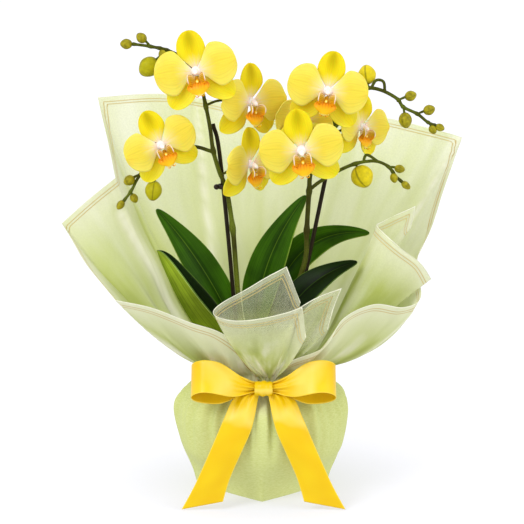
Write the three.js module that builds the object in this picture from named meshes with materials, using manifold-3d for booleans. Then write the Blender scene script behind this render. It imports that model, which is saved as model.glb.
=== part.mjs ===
// A yellow moth orchid with two flower spikes, in a nursery pot that is gift-wrapped in a stiff
// see-through sheet and tied with a satin ribbon.
// Millimetres, +Z up, front towards -Y. The origin is the middle of the flat foot that it stands on.
import * as THREE from 'three';
import { mergeGeometries, mergeVertices } from 'three/addons/utils/BufferGeometryUtils.js';
import Module from 'manifold-3d';

const wasm = await Module();
wasm.setup();

// Driving dimensions
const POT_HEIGHT = 106; // nursery pot, foot to rim
const POT_FOOT_R = 38;
const POT_RIM_R = 55;
const POT_WALL = 1.6;
const BARK_TOP = 97; // height of the bark's surface
const STAKE_R = 2.1;
const SEAT_GAP = 0.35; // clearance between a piece and what carries it
const WRAP_THICK = 0.8; // the sheet, drawn thicker than the real 0.3
const POT_LIFT = WRAP_THICK + SEAT_GAP; // the pot stands on the wrap
const NECK_Z = 119; // middle of the tied neck
const NECK_R = 57;
const NECK_HALF = 7; // the neck is straight this far above and below its middle
const BLOOM_SPAN = 84; // petal tip to petal tip of a full-size bloom
const RIBBON_W = 34;
const RIBBON_T = 0.9;

// Colours
const green = paint('#4f6b25', 0.5);
const leafGreen = paint('#2f5a1c', 0.35);
const yellow = paint('#f6dc28', 0.5);
const orange = paint('#ee9a1c', 0.5);
const wrapGreen = paint('#cfdc9c', 0.6);
const satin = paint('#fbcf1d', 0.35);
const bark = paint('#4a3323', 0.9);
const plastic = paint('#c9c9c4', 0.4);
const darkStake = paint('#2c231b', 0.6);

function paint(colour, roughness) {
  return new THREE.MeshStandardMaterial({ color: colour, roughness, metalness: 0 });
}

const V = (x, y, z) => new THREE.Vector3(x, y, z);
const mix = (a, b, t) => a + (b - a) * t;
const smooth = (t) => {
  const c = Math.min(1, Math.max(0, t));
  return c * c * (3 - 2 * c);
};
const rad = THREE.MathUtils.degToRad;

// Solids
// A closed geometry becomes a solid: vertices are merged and faces with no area are dropped.
function solid(geometry) {
  const bare = geometry.index ? geometry.toNonIndexed() : geometry.clone();
  bare.deleteAttribute('normal');
  bare.deleteAttribute('uv');
  const merged = mergeVertices(bare, 1e-3);
  const kept = [];
  for (let i = 0; i < merged.index.count; i += 3) {
    const [a, b, c] = [0, 1, 2].map((k) => merged.index.getX(i + k));
    if (a !== b && b !== c && a !== c) kept.push(a, b, c);
  }
  return new wasm.Manifold(new wasm.Mesh({
    numProp: 3,
    vertProperties: new Float32Array(merged.attributes.position.array),
    triVerts: new Uint32Array(kept),
  }));
}

// The largest body of a solid as a geometry, without scraps that a cut leaves or edges too short to see.
function geometryOf(made) {
  const bodies = made.decompose().sort((a, b) => b.volume() - a.volume());
  const mesh = bodies[0].simplify(0.02).getMesh();
  const geometry = new THREE.BufferGeometry();
  geometry.setAttribute('position', new THREE.BufferAttribute(new Float32Array(mesh.vertProperties), 3));
  geometry.setIndex([...mesh.triVerts]);
  return geometry;
}

const join = (pieces) => pieces.reduce((all, piece) => all.add(piece));

// A thin closed skin on both sides of surface(u, v), with u and v from 0 to 1.
// round: u = 1 meets u = 0. pole: v = 0 is a single point. Both skins are split alike.
function skin(surface, across, along, thickness, { round = false, pole = false } = {}) {
  const step = 1e-3;
  const side = (sign) => {
    const plane = new THREE.PlaneGeometry(1, 1, across, along);
    const at = plane.attributes.position;
    for (let i = 0; i < at.count; i += 1) {
      let u = at.getX(i) + 0.5;
      const v = Math.min(1, Math.max(0, at.getY(i) + 0.5));
      if (round && u > 1 - 1e-6) u = 0;
      // The slope is taken just inside the border, where every surface here has one
      const inU = round ? u : mix(u, 0.5, 0.04);
      const inV = mix(v, 0.5, 0.04);
      const du = surface(inU + step, inV).sub(surface(inU - step, inV));
      const dv = surface(inU, inV + step).sub(surface(inU, inV - step));
      const normal = pole && v < 1e-6 ? V(0, 0, -1) : du.cross(dv).normalize();
      const point = surface(u, v).addScaledVector(normal, (sign * thickness) / 2);
      at.setXYZ(i, point.x, point.y, point.z);
    }
    if (sign < 0) flip(plane);
    return plane;
  };
  const front = side(1);
  const back = side(-1);
  // PlaneGeometry's first row of vertices is v = 1
  const corner = (geometry, [column, row]) => {
    const i = (along - row) * (across + 1) + column;
    const at = geometry.attributes.position;
    return [at.getX(i), at.getY(i), at.getZ(i)];
  };
  // The border, walked anticlockwise as seen from the front
  const walk = [];
  for (let i = 0; i < across; i += 1) {
    if (!pole) walk.push([[i, 0], [i + 1, 0]]);
    walk.push([[i + 1, along], [i, along]]);
  }
  for (let j = 0; j < along && !round; j += 1) {
    walk.push([[across, j], [across, j + 1]]);
    walk.push([[0, j + 1], [0, j]]);
  }
  const corners = walk.flatMap(([p, q]) => [
    ...corner(front, q), ...corner(front, p), ...corner(back, p),
    ...corner(front, q), ...corner(back, p), ...corner(back, q),
  ]);
  const edge = new THREE.BufferGeometry();
  edge.setAttribute('position', new THREE.Float32BufferAttribute(corners, 3));
  const closed = mergeGeometries([front, back, edge].map((geometry) => {
    const bare = geometry.index ? geometry.toNonIndexed() : geometry;
    bare.deleteAttribute('normal');
    bare.deleteAttribute('uv');
    return bare;
  }));
  const made = solid(closed);
  return made.volume() >= 0 ? made : solid(flip(closed));
}

function flip(geometry) {
  if (geometry.index) {
    const order = geometry.index;
    for (let i = 0; i < order.count; i += 3) {
      const keep = order.getX(i);
      order.setX(i, order.getX(i + 1));
      order.setX(i + 1, keep);
    }
    return geometry;
  }
  const at = geometry.attributes.position;
  for (let i = 0; i < at.count; i += 3) {
    const keep = [at.getX(i), at.getY(i), at.getZ(i)];
    at.setXYZ(i, at.getX(i + 1), at.getY(i + 1), at.getZ(i + 1));
    at.setXYZ(i + 1, ...keep);
  }
  return geometry;
}

// A tapered round stem along a smooth curve: a cylinder bent to the curve. past: how far both ends
// are drawn on, for the hole that a stem stands in.
function stem(points, r0, r1, steps, sides = 6, past = 0) {
  const path = points.map((p) => V(...p));
  const last = path.length - 1;
  path[0].add(path[0].clone().sub(path[1]).setLength(past));
  path[last].add(path[last].clone().sub(path[last - 1]).setLength(past));
  const curve = new THREE.CatmullRomCurve3(path, false, 'catmullrom', 0.5);
  const frames = curve.computeFrenetFrames(steps, false);
  const tube = new THREE.CylinderGeometry(1, 1, 1, sides, steps);
  const at = tube.attributes.position;
  for (let i = 0; i < at.count; i += 1) {
    const t = at.getY(i) + 0.5;
    const k = Math.round(t * steps);
    const r = mix(r0, r1, t);
    const p = curve.getPointAt(Math.min(1, Math.max(0, t)))
      .addScaledVector(frames.normals[k], -at.getX(i) * r)
      .addScaledVector(frames.binormals[k], at.getZ(i) * r);
    at.setXYZ(i, p.x, p.y, p.z);
  }
  const made = solid(tube);
  return made.volume() >= 0 ? made : solid(flip(tube.toNonIndexed()));
}

// An egg shape at a point, its long axis along a direction.
function egg(centre, direction, radius, stretch, around = 8, rings = 6) {
  const ball = new THREE.SphereGeometry(radius, around, rings);
  ball.scale(1, stretch, 1);
  ball.applyQuaternion(new THREE.Quaternion().setFromUnitVectors(V(0, 1, 0), direction.clone().normalize()));
  ball.translate(centre.x, centre.y, centre.z);
  return solid(ball);
}

function boxAt(sx, sy, sz, x, y, z) {
  return solid(new THREE.BoxGeometry(sx, sy, sz).translate(x, y, z));
}

// The unit square bent to a unit disc, for rounded outlines.
function disc(u, v) {
  const a = 2 * u - 1;
  const b = 2 * v - 1;
  return [a * Math.sqrt(1 - (b * b) / 2), b * Math.sqrt(1 - (a * a) / 2)];
}

// Pot: a thin tapered cup with a rolled rim, turned in one piece.
function pot() {
  const foot = POT_LIFT;
  const top = POT_LIFT + POT_HEIGHT;
  const lip = 8;
  const underLip = POT_RIM_R - 3;
  const profile = [
    [0, foot], [POT_FOOT_R, foot], [POT_FOOT_R + 1, foot + 1.5], [underLip, top - lip],
    [POT_RIM_R, top - lip], [POT_RIM_R, top], [underLip - POT_WALL, top],
    [POT_FOOT_R - 0.5, foot + 2 * POT_WALL], [0, foot + 2 * POT_WALL],
  ];
  return solid(new THREE.LatheGeometry(profile.map(([r, z]) => new THREE.Vector2(r, z)), 20)
    .rotateX(Math.PI / 2));
}

// Bark: fills the pot, with a rough top, and plain holes where the crown and the stakes stand.
function barkFill() {
  const inner = POT_RIM_R - 3 - POT_WALL;
  const taper = (inner - POT_FOOT_R) / POT_HEIGHT;
  const floorZ = POT_LIFT + 2 * POT_WALL + SEAT_GAP;
  const radiusAt = (z) => POT_FOOT_R - 1.2 + taper * (z - floorZ);
  const profile = [[0, floorZ], [radiusAt(floorZ), floorZ], [radiusAt(BARK_TOP), BARK_TOP - 1]];
  for (const r of [34, 18]) profile.push([r, BARK_TOP]);
  profile.push([0, BARK_TOP]);
  const turned = new THREE.LatheGeometry(profile.map(([r, z]) => new THREE.Vector2(r, z)), 16)
    .rotateX(Math.PI / 2);
  const at = turned.attributes.position;
  for (let i = 0; i < at.count; i += 1) {
    const [x, y, z] = [at.getX(i), at.getY(i), at.getZ(i)];
    const r = Math.hypot(x, y);
    const bump = 2.6 * Math.sin(0.43 * x + 1.1) * Math.cos(0.51 * y - 0.4);
    if (z > BARK_TOP - 0.5 && r > 1) at.setZ(i, z + bump);
  }
  return solid(turned);
}

// Crown: the short trunk that leaves and spikes grow from, with a few thick roots on the bark.
const CROWN = V(-4, 0, 112);
const CROWN_R = 10;
const CROWN_TALL = 1.5;

function crownBody(grow) {
  const trunk = egg(CROWN, V(0, 0, 1), CROWN_R + grow, CROWN_TALL, 8, 6);
  const foot = stem([[CROWN.x, 0, 70], [CROWN.x, 0, 90], [CROWN.x, 0, 108]], 6 + grow, 7 + grow, 2, 8, grow);
  return trunk.add(foot);
}

function roots(grow) {
  const low = BARK_TOP + 5.2;
  return join([20, 130, 250].map((degrees, i) => {
    const a = rad(degrees);
    const reach = 30 + 4 * (i % 2);
    const dip = [CROWN.x + reach * Math.cos(a), reach * Math.sin(a)];
    return stem([
      [CROWN.x + 4 * Math.cos(a), 4 * Math.sin(a), 104],
      [CROWN.x + 0.5 * reach * Math.cos(a), 0.5 * reach * Math.sin(a), low + 3],
      [dip[0], dip[1], low - 2],
      [dip[0] + 3 * Math.cos(a), dip[1] + 3 * Math.sin(a), 82],
    ], 3.1 + grow, 2.4 + grow, 4, 4, grow);
  }));
}

// Leaves: thick straps, folded along the midrib at the foot and flatter towards the tip.
// foot, bend and tip steer the midrib. faces is the way the upper side looks. kept is how much of
// the fold is left towards the tip, and taper how much of the width.
const LEAVES = {
  leaf_left_upper: {
    foot: [-9, 3, 112], bend: [-44, 8, 214], tip: [-106, 15, 280], faces: [0.3, -0.85, 0.35],
    half: 18, fold: 16,
  },
  leaf_left_lower: {
    foot: [-10, -3, 110], bend: [-68, -36, 148], tip: [-103, -28, 246], faces: [0.74, -0.2, 0.6],
    half: 34, fold: 62, kept: 1, taper: 0.9,
  },
  leaf_centre: {
    foot: [-1, 4, 114], bend: [-20, 5, 212], tip: [44, 2, 296], faces: [-0.35, -0.85, 0.3],
    half: 20, fold: 14,
  },
  leaf_right_upper: {
    foot: [3, 6, 112], bend: [6, 30, 264], tip: [109, 34, 252], faces: [-0.1, -0.78, 0.6],
    half: 18, fold: 20,
  },
  leaf_right_lower: {
    foot: [3, -5, 110], bend: [18, -38, 216], tip: [94, -26, 234], faces: [-0.15, -0.7, 0.7],
    half: 17, fold: 22,
  },
};
const LEAF_THICK = 1.8;

function leafPoint({ foot, bend, tip, faces, half, fold, kept = 0.55, taper = 0.62 }, u, v) {
  const [a, b] = disc(u, v);
  const t = (b + 1) / 2;
  const curve = new THREE.QuadraticBezierCurve3(V(...foot), V(...bend), V(...tip));
  const along = curve.getTangent(t);
  const side = along.clone().cross(V(...faces)).normalize();
  const normal = side.clone().cross(along).normalize();
  const wide = half * mix(0.42, 1, smooth((t - 0.05) / 0.45)) * mix(1, taper, smooth((t - 0.6) / 0.4));
  const lift = rad(mix(fold + 26, fold * kept, smooth(t / 0.8)));
  return curve.getPoint(t)
    .addScaledVector(side, a * wide * Math.cos(lift))
    .addScaledVector(normal, Math.abs(a) * wide * Math.sin(lift) - 2.2 * a * a);
}

function leaf(spec, thickness) {
  return skin((u, v) => leafPoint(spec, u, v), 4, 9, thickness);
}

// The middle of a bloom, where petals and stalk meet.
const HUB_R = 5;
const HUB_DEEP = 6.2;

// Where each bloom sits: middle, way it looks (yaw to the right, pitch up), roll to the left and size.
// lean: how far the petals' tips come forward.
const BLOOMS = {
  left_top: { at: [-64, -30, 423], yaw: -3, pitch: 4, roll: 13, size: 0.97, lean: 0 },
  left_outer: { at: [-99.2, -22, 350], yaw: 12, pitch: 0, roll: 25, size: 0.88, lean: 2 },
  left_inner: { at: [-11.5, 1, 389.5], yaw: 36, pitch: 0, roll: -3, size: 0.93, lean: 9 },
  left_low: { at: [-12, -8, 329], yaw: 45, pitch: -4, roll: 2, size: 0.89, lean: 9 },
  right_top: { at: [63.5, -32, 404], yaw: 0, pitch: 2, roll: -10, size: 0.94, lean: 0 },
  right_front: { at: [38, -52, 349], yaw: 0, pitch: -6, roll: 8, size: 0.97, lean: 0 },
  right_outer: { at: [99, 22, 362], yaw: 44, pitch: 0, roll: -10, size: 0.82, lean: 9 },
  right_back: { at: [42, 20, 369], yaw: -152, pitch: 6, roll: 5, size: 0.8, lean: 0 },
};

function facingOf({ yaw, pitch }) {
  const [a, p] = [rad(yaw), rad(pitch)];
  return V(Math.sin(a) * Math.cos(p), -Math.cos(a) * Math.cos(p), Math.sin(p));
}

// A point on the bloom's axis, this far behind its middle.
function behind(spec, distance) {
  return V(...spec.at).addScaledVector(facingOf(spec), -distance).toArray();
}

function bloomFrame({ at, yaw, pitch, roll, size }) {
  const [a, r] = [rad(yaw), rad(roll)];
  const facing = facingOf({ yaw, pitch });
  const level = V(Math.cos(a), Math.sin(a), 0);
  const upright = facing.clone().cross(level);
  const right = level.clone().multiplyScalar(Math.cos(r)).addScaledVector(upright, Math.sin(r));
  const up = upright.multiplyScalar(Math.cos(r)).addScaledVector(level, -Math.sin(r));
  const group = new THREE.Group();
  group.applyMatrix4(new THREE.Matrix4().makeBasis(right, up, facing));
  group.position.set(...at);
  group.scale.setScalar((size * BLOOM_SPAN) / 84);
  return group;
}

// Flower spikes: main stem, side branch, stalks that end behind their blooms, nodes and buds.
// A bud is where its stalk starts, its middle, radius and how long it is for its width.
const SPIKE_LEFT = {
  main: [[-11, -5, 116], [-17, -9, 150], [-23, -11, 190], [-26, -10, 226], [-29, -9, 264], [-35, -8, 303],
    [-42, -8, 321], [-48, -8, 342], [-51, -7, 364], [-55, -6, 385], [-62, -2, 412], [-76, 2, 431],
    [-92, 0, 440], [-109, 0, 444], [-127, 0, 446.5]],
  branch: [[-48, -8, 341], [-66, -6, 346], [-86, -5, 345], [-105, -6, 335], [-120, -8, 319],
    [-129, -10, 303], [-137, -10, 292]],
  stalks: {
    left_top: [[-57, -5, 396]],
    left_inner: [[-55, -6, 387], [-42, 0, 391]],
    left_low: [[-41, -8, 318], [-31, 2, 322]],
    left_outer: [[-68, -6, 346]],
  },
  curls: [],
  nodes: [[-29, -9, 264], [-48, -8, 342], [-55, -6, 386]],
  buds: [[[-126, 0, 446.4], [-133, 0, 446.5], 5.2, 1.15], [[-109, 0, 444], [-118, 0, 452.5], 5, 1.15],
    [[-100, 0, 443], [-97, -3, 436], 4.2, 1.3], [[-93, 0, 440], [-111, 0, 424], 9.8, 1.12],
    [[-120, -8, 319], [-131, -10, 313], 5.2, 1.15], [[-130, -10, 302], [-126.5, -9, 295], 4, 1.25],
    [[-136, -10, 294], [-140, -10, 288.5], 3.8, 1.4], [[-103, -6, 336], [-107, -15, 303.5], 8.4, 1.2]],
};
const SPIKE_RIGHT = {
  main: [[1, -5, 116], [12, -10, 150], [28, -9, 190], [39, -7, 218], [44, -5, 238], [44.6, -4, 264],
    [46.7, -3, 300], [48, -2, 318], [55, -2, 338], [66, -2, 355], [75, -3, 370], [84, -4, 390],
    [94, -5, 402], [106, -6, 404], [119, -6, 401], [133, -5, 393], [139, -4, 385], [153, -3, 378],
    [163, -2, 370], [171, -2, 366.5]],
  branch: [[47.5, -3, 303], [59, -4, 312], [78, -5, 323], [92, -6, 329], [105, -6, 331.5], [115, -6, 331],
    [125, -6, 326], [132, -6, 317], [139.5, -6, 310]],
  stalks: {
    right_top: [[72, -2, 365]],
    right_front: [[49.5, -2, 324]],
    right_outer: [[67, -2, 356], [68, 20, 354], [80, 37, 357]],
    right_back: [[60, -2, 346], [52, 2, 356]],
  },
  curls: [
    [[107, -6, 404], [112, -6, 411.5], [119, -6, 410], [120.5, -6, 401]],
    [[100, -6, 330.5], [102, -6, 337], [106, -6, 337], [114, -6, 331.5]],
  ],
  nodes: [[44.6, -4, 262], [47.4, -3, 302], [75, -3, 370]],
  buds: [[[104, -5, 405], [103, 0, 416.5], 9, 1.1], [[134, -5, 392], [146, -4, 396], 5.2, 1.15],
    [[153, -3, 378], [164.5, -3, 382], 5.2, 1.15], [[139, -4, 385], [141, -5, 372], 6.6, 1.2],
    [[164, -2, 370], [168.5, -2, 362.5], 4, 1.2], [[170, -2, 367], [175.5, -2, 364.5], 3.8, 1.25],
    [[92, -6, 329], [99, -8, 316.5], 11.2, 1.03], [[125, -6, 326], [136, -7, 324], 4.2, 1.25],
    [[129, -6, 321], [130.4, -7, 315], 4, 1.25], [[137, -6, 312], [142.4, -6, 307.5], 3.6, 1.5]],
};
const STEM_R = 2.8;

function spike(spec, grow = 0) {
  const pieces = [
    stem(spec.main, STEM_R + grow, 1.3 + grow, Math.round(1.1 * spec.main.length), 5, grow),
    stem(spec.branch, 1.9 + grow, 1.2 + grow, spec.branch.length, 5),
  ];
  if (grow > 0) return join(pieces);
  for (const [name, from] of Object.entries(spec.stalks)) {
    const bloom = BLOOMS[name];
    const seat = HUB_DEEP * bloom.size + SEAT_GAP;
    pieces.push(stem([...from, behind(bloom, seat + 8), behind(bloom, seat)], 1.5, 1.5, 3, 4));
  }
  for (const curl of spec.curls) pieces.push(stem(curl, 1.5, 1.5, 4, 4));
  for (const point of spec.nodes) pieces.push(egg(V(...point), V(0, 0, 1), 3.4, 1.2, 5, 3));
  for (const [from, centre, radius, stretch] of spec.buds) {
    const way = V(...centre).sub(V(...from));
    pieces.push(stem([from, mixPoints(from, centre, 0.5), centre], 1.2, 1.1, 1, 3));
    pieces.push(egg(V(...centre), way, radius, stretch, radius > 6 ? 8 : 5, radius > 6 ? 6 : 4));
  }
  return join(pieces);
}

function mixPoints(a, b, t) {
  return a.map((value, i) => mix(value, b[i], t));
}

// Blooms: x right, y up and z towards the viewer, drawn at full size and scaled in place.
const LIP_GAP = 0.5;
const PETAL = { reach: 42, half: 22.5, turn: 84, fore: 2.2, rise: 3.2, fall: 4, cup: -3, base: 0.42 };
const DORSAL = { reach: 41, half: 14.5, turn: 0, fore: -1.4, rise: 2, fall: 3.5, cup: 2, base: 0.55 };
const LATERAL = { reach: 45, half: 14, turn: 134, fore: -2, rise: 1.5, fall: 6, cup: 1.5, base: 0.5 };

// A petal or sepal: turn is its angle from straight up, and mirror puts it on the left.
function tepalPoint({ reach, half, turn, fore, rise, fall, cup, base }, mirror, u, v) {
  const [a, b] = disc(u, v);
  const t = (b + 1) / 2;
  const along = 3 + (reach - 3) * t;
  const across = a * half * mix(base, 1, smooth(t / 0.5));
  const w = a / Math.sqrt(Math.max(0.09, 1 - b * b));
  const depth = fore + rise * Math.sin(Math.PI * t * 0.9) - fall * t * t + cup * w * w * t;
  const angle = rad(turn);
  const x = Math.sin(angle) * along + Math.cos(angle) * across;
  const y = Math.cos(angle) * along - Math.sin(angle) * across;
  return V(mirror ? -x : x, y, depth);
}

function tepals(lean) {
  const petal = { ...PETAL, fall: PETAL.fall - lean };
  const pieces = [
    egg(V(0, 0, 0), V(0, 0, 1), HUB_R, HUB_DEEP / HUB_R, 6, 4),
    egg(V(0, -0.5, 7), V(0, -0.2, 1), 3.4, 1.7, 5, 3),
    boxAt(3.6, 5, 5, 0, -6, 2.2),
  ];
  for (const mirror of [false, true]) {
    pieces.push(skin((u, v) => tepalPoint(petal, mirror, u, v), 4, 3, 1));
    pieces.push(skin((u, v) => tepalPoint(LATERAL, mirror, u, v), 3, 3, 1));
  }
  pieces.push(skin((u, v) => tepalPoint(DORSAL, false, u, v), 3, 3, 1));
  return join(pieces);
}

// Lip: two side lobes that spread and stand up beside the column, and a broad middle lobe below.
function lip() {
  const front = 4.7 + LIP_GAP;
  const sideLobe = (sign) => skin((u, v) => {
    const [a, b] = disc(u, v);
    const t = (b + 1) / 2;
    return V(sign * (2.4 + 8.6 * Math.sin(rad(80 * t))), -8 - 5.5 * a + 2 * t, front + 4 + 8 * t * t);
  }, 2, 2, 1);
  const midLobe = skin((u, v) => {
    const [a, b] = disc(u, v);
    const t = (b + 1) / 2;
    const wide = 10.5 * mix(0.45, 1, smooth(t / 0.6));
    return V(a * wide, -10.4 - 14.6 * t, front + 2 + 6 * Math.sin(Math.PI * t * 0.75) - 2.5 * a * a);
  }, 3, 3, 1.2);
  return join([boxAt(5, 4.4, 6, 0, -9, front + 3), sideLobe(1), sideLobe(-1), midLobe]);
}

// Wrap: one big sheet under the pot, up its sides, tied at the neck and open like a flower above.
// Each row is a place on the sheet's hem, going round from the front to the right:
// angle at the neck, angle, reach and height of the hem, and 1 where the hem turns a corner.
const MAIN_HEM = [
  [4, 5, 62, 131, 0], [14, 21, 80, 146, 0], [24, 36, 104, 163, 0], [34, 42, 116, 190, 0],
  [46, 55, 132, 202, 0], [60, 68, 149, 195, 0], [76, 85, 160, 197, 0], [92, 100, 160, 226, 0],
  [106, 112, 189, 253, 0], [124, 119, 240, 340, 1], [138, 128, 219, 348, 0], [152, 140, 195, 357, 0],
  [166, 156, 176, 360, 0], [180, 178, 166, 356, 0], [194, 197, 172, 372, 0], [206, 215, 189, 381, 0],
  [220, 233, 216, 380, 1], [236, 236, 194, 338, 0], [248, 242, 172, 302, 1], [260, 251, 188, 283, 0],
  [272, 260, 207, 262, 1], [288, 275, 176, 232, 0], [304, 293, 155, 203, 1], [316, 307, 134, 200, 0],
  [328, 321, 111, 187, 0], [338, 334, 94, 177, 0], [348, 346, 76, 158, 0], [356, 357, 63, 133, 0],
];
const PLEAT = 2; // depth of the gathers at the neck, each way
const ROWS = 14; // of which 8 make the bag and 1 the neck
const BAG_SHARE = 8 / ROWS;
const NECK_SHARE = 1 / (ROWS - 8);

const around = (degrees, r, z) => V(r * Math.sin(rad(degrees)), -r * Math.cos(rad(degrees)), z);

// A point on the hem, with f from 0 to 1 between places i and i + 1: smooth except at corners.
function hemPoint(hem, i, f, closed) {
  const n = hem.length;
  const last = closed ? n : n - 1;
  const at = (k) => {
    const row = hem[closed ? (k + n) % n : Math.min(last, Math.max(0, k))];
    return closed ? around(row[1], row[2], row[3]) : V(row[1], row[2], row[3]);
  };
  const cornered = (k) => hem[closed ? (k + n) % n : Math.min(last, Math.max(0, k))][4] === 1;
  const [a, b] = [at(i), at(i + 1)];
  const straight = b.clone().sub(a);
  const t0 = cornered(i) ? straight : b.clone().sub(at(i - 1)).multiplyScalar(0.5);
  const t1 = cornered(i + 1) ? straight : at(i + 2).sub(a).multiplyScalar(0.5);
  const [f2, f3] = [f * f, f * f * f];
  return a.multiplyScalar(2 * f3 - 3 * f2 + 1).addScaledVector(t0, f3 - 2 * f2 + f)
    .addScaledVector(b, -2 * f3 + 3 * f2).addScaledVector(t1, f3 - f2);
}

function neckAngle(hem, i, f, closed) {
  const n = hem.length;
  const a = hem[i % n][0];
  let b = hem[(i + 1) % n][0];
  if (closed && b < a) b += 360;
  return mix(a, b, f);
}

// The bag below the neck: radius and height by the share of the way up, square at the foot.
const BAG = [
  [0, 0], [58, 0], [66, 0.3], [71, 17], [83, 45], [88, 72], [84, 92], [68, 106], [NECK_R, NECK_Z - NECK_HALF],
];

function bagPoint(angle, share) {
  const rows = BAG.length - 1;
  const k = Math.min(rows - 1, Math.floor(share * rows));
  const f = share * rows - k;
  const r = mix(BAG[k][0], BAG[k + 1][0], f);
  const z = mix(BAG[k][1], BAG[k + 1][1], f);
  const square = 1 / (Math.abs(Math.cos(rad(angle))) + Math.abs(Math.sin(rad(angle))));
  const low = smooth(1 - z / 46);
  return [r * mix(1, mix(square, 1, 0.15), low), z];
}

function mainWrapPoint(u, v) {
  const places = MAIN_HEM.length;
  const turn = (((u % 1) + 1) % 1) * places;
  const i = Math.floor(turn);
  const f = turn - i;
  const angle = neckAngle(MAIN_HEM, i, f, true);
  const gather = Math.cos(2 * Math.PI * f);
  if (v < BAG_SHARE) {
    const [r, z] = bagPoint(angle, v / BAG_SHARE);
    const fade = smooth((z - 74) / 30);
    return around(angle, r + PLEAT * gather * fade, z + WRAP_THICK / 2);
  }
  const share = (v - BAG_SHARE) / (1 - BAG_SHARE);
  const low = around(angle, NECK_R + PLEAT * gather, NECK_Z - NECK_HALF + WRAP_THICK / 2);
  if (share < NECK_SHARE) return low.setZ(low.z + (2 * NECK_HALF * share) / NECK_SHARE);
  const start = low.setZ(low.z + 2 * NECK_HALF);
  // The right-hand side sags out low before it rises
  const sag = Math.exp(-(((angle - 85) / 28) ** 2));
  const rise = (share - NECK_SHARE) / (1 - NECK_SHARE);
  return flare(start, hemPoint(MAIN_HEM, i, f, true), rise, mix(0.36, 0.66, sag), mix(0.13, 0, sag));
}

// A line of the sheet from the neck to its hem: out first, and then up.
function flare(start, end, t, out, up) {
  const knee = V(mix(start.x, end.x, out), mix(start.y, end.y, out), mix(start.z, end.z, up));
  const s = 1 - t;
  return start.clone().multiplyScalar(s * s).addScaledVector(knee, 2 * s * t).addScaledVector(end, t * t);
}

// Smaller sheets, tucked into the neck. Each row has the angle at the neck, x, y and z of the hem,
// and 1 at a corner.
const SIDE_SHEET = [
  [62, 168, -6, 213, 0], [66, 157, -19, 232, 0], [70, 139, -27, 247, 0], [74, 126, -29, 258, 0],
  [79, 116, -20, 266, 0], [84, 114, -6, 268, 0], [89, 121, 6, 269, 0], [94, 136, 14, 275, 0],
  [100, 154, 22, 282, 1], [105, 150, 29, 258, 0],
];
const FRONT_SHEET = [
  [9, 42, -104, 176, 0], [9, 38, -110, 207, 1], [8, 21, -120, 203, 0], [5, -3, -124, 198.5, 0],
  [2, -25.5, -120, 196, 0], [0, -42, -110, 197, 0], [-1.5, -46.5, -100, 200.5, 0],
  [-1, -38.5, -92, 207, 0], [2, -16.4, -87, 218.5, 0], [5, 3, -85, 230, 0], [8, 23.5, -84, 241, 1],
  [9, 37, -86, 206, 0],
];
const CORNER_SHEET = [
  [12, 32, -80, 197, 0], [13, 51, -81, 209, 0], [15, 76.6, -80, 219, 1], [18, 70, -74, 200, 0],
  [20, 64, -70, 176, 0],
];

function sheet(hem, footR, footZ, out, up, columns, rows, footDrop) {
  const spans = hem.length - 1;
  const surface = (u, v) => {
    const turn = Math.min(spans - 1e-6, Math.max(0, u * spans));
    const i = Math.floor(turn);
    const f = turn - i;
    const angle = mix(hem[i][0], hem[i + 1][0], f);
    const start = around(angle, footR(u), footZ);
    const tuck = footDrop;
    if (v < tuck) return start.setZ(start.z - (1 - v / tuck) * 12);
    return flare(start, hemPoint(hem, i, f, false), (v - tuck) / (1 - tuck), out, up);
  };
  return skin(surface, spans * columns, rows, WRAP_THICK);
}

// Ribbon: a band round the neck, and a bow of two loops, two tails and a knot, tied in front.
const KNOT = V(1.5, -82.6, 121);
const LOOP_TILT = 38;

function band() {
  const height = 9;
  return skin((u, v) => {
    const degrees = u * 360;
    const off = ((degrees - 4 + 180) % 360) - 180;
    const r = NECK_R + PLEAT + WRAP_THICK + 1 + 15 * Math.exp(-((off / 22) ** 2));
    return around(degrees, r, NECK_Z + (v - 0.5) * height);
  }, 36, 1, RIBBON_T, { round: true });
}

// A loop: out from the knot at the front, round at the far end, and back behind, pinched at the knot.
function loopPoint(sign, u, v) {
  const turn = 2 * Math.PI * v;
  const reach = 66;
  const outward = reach * (1 - Math.cos(turn)) / 2;
  const openness = Math.sin(turn) * smooth(outward / reach) * 19;
  const pinch = mix(0.3, 1, smooth(outward / 40));
  const width = (u - 0.5) * RIBBON_W * pinch;
  const crease = 1.6 * Math.cos(3 * Math.PI * (u - 0.5)) * (1 - smooth(outward / 34));
  const tilt = rad(LOOP_TILT) * smooth(outward / 40);
  const rise = 5.5 * smooth(outward / 60);
  const away = openness + crease;
  return V(
    KNOT.x + sign * (4 + outward),
    KNOT.y - away * Math.cos(tilt) + width * Math.sin(tilt) + 2.8 * v,
    KNOT.z + away * Math.sin(tilt) + width * Math.cos(tilt) + rise,
  );
}

// A tail: down over the bag's belly to the floor, cut on a slant. The right-hand one, by its two
// edges: outer x, inner x, y and z of both, with the knot at x = 0.
const TAIL = [
  [9, 3, -80, 116, 116], [28, 5, -81, 111, 111], [38, 9, -88, 92, 92], [45, 13, -91, 76, 78],
  [54, 21, -93, 55, 60], [65, 31, -93, 30, 37], [73, 36, -93, 14, 22], [80, 39.5, -93, 1.1, 9],
];

function tailPoint(sign, u, v) {
  const edge = (outer) => new THREE.CatmullRomCurve3(
    TAIL.map((row) => V(row[outer ? 0 : 1], row[2], row[outer ? 3 : 4])),
    false,
    'catmullrom',
    0.5,
  );
  const point = edge(false).getPoint(v).lerp(edge(true).getPoint(v), sign > 0 ? u : 1 - u);
  const swell = 3 * Math.sin(Math.PI * u) * smooth(v / 0.2) * smooth((1 - v) / 0.5);
  return V(KNOT.x + sign * point.x, point.y - swell, point.z);
}

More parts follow.
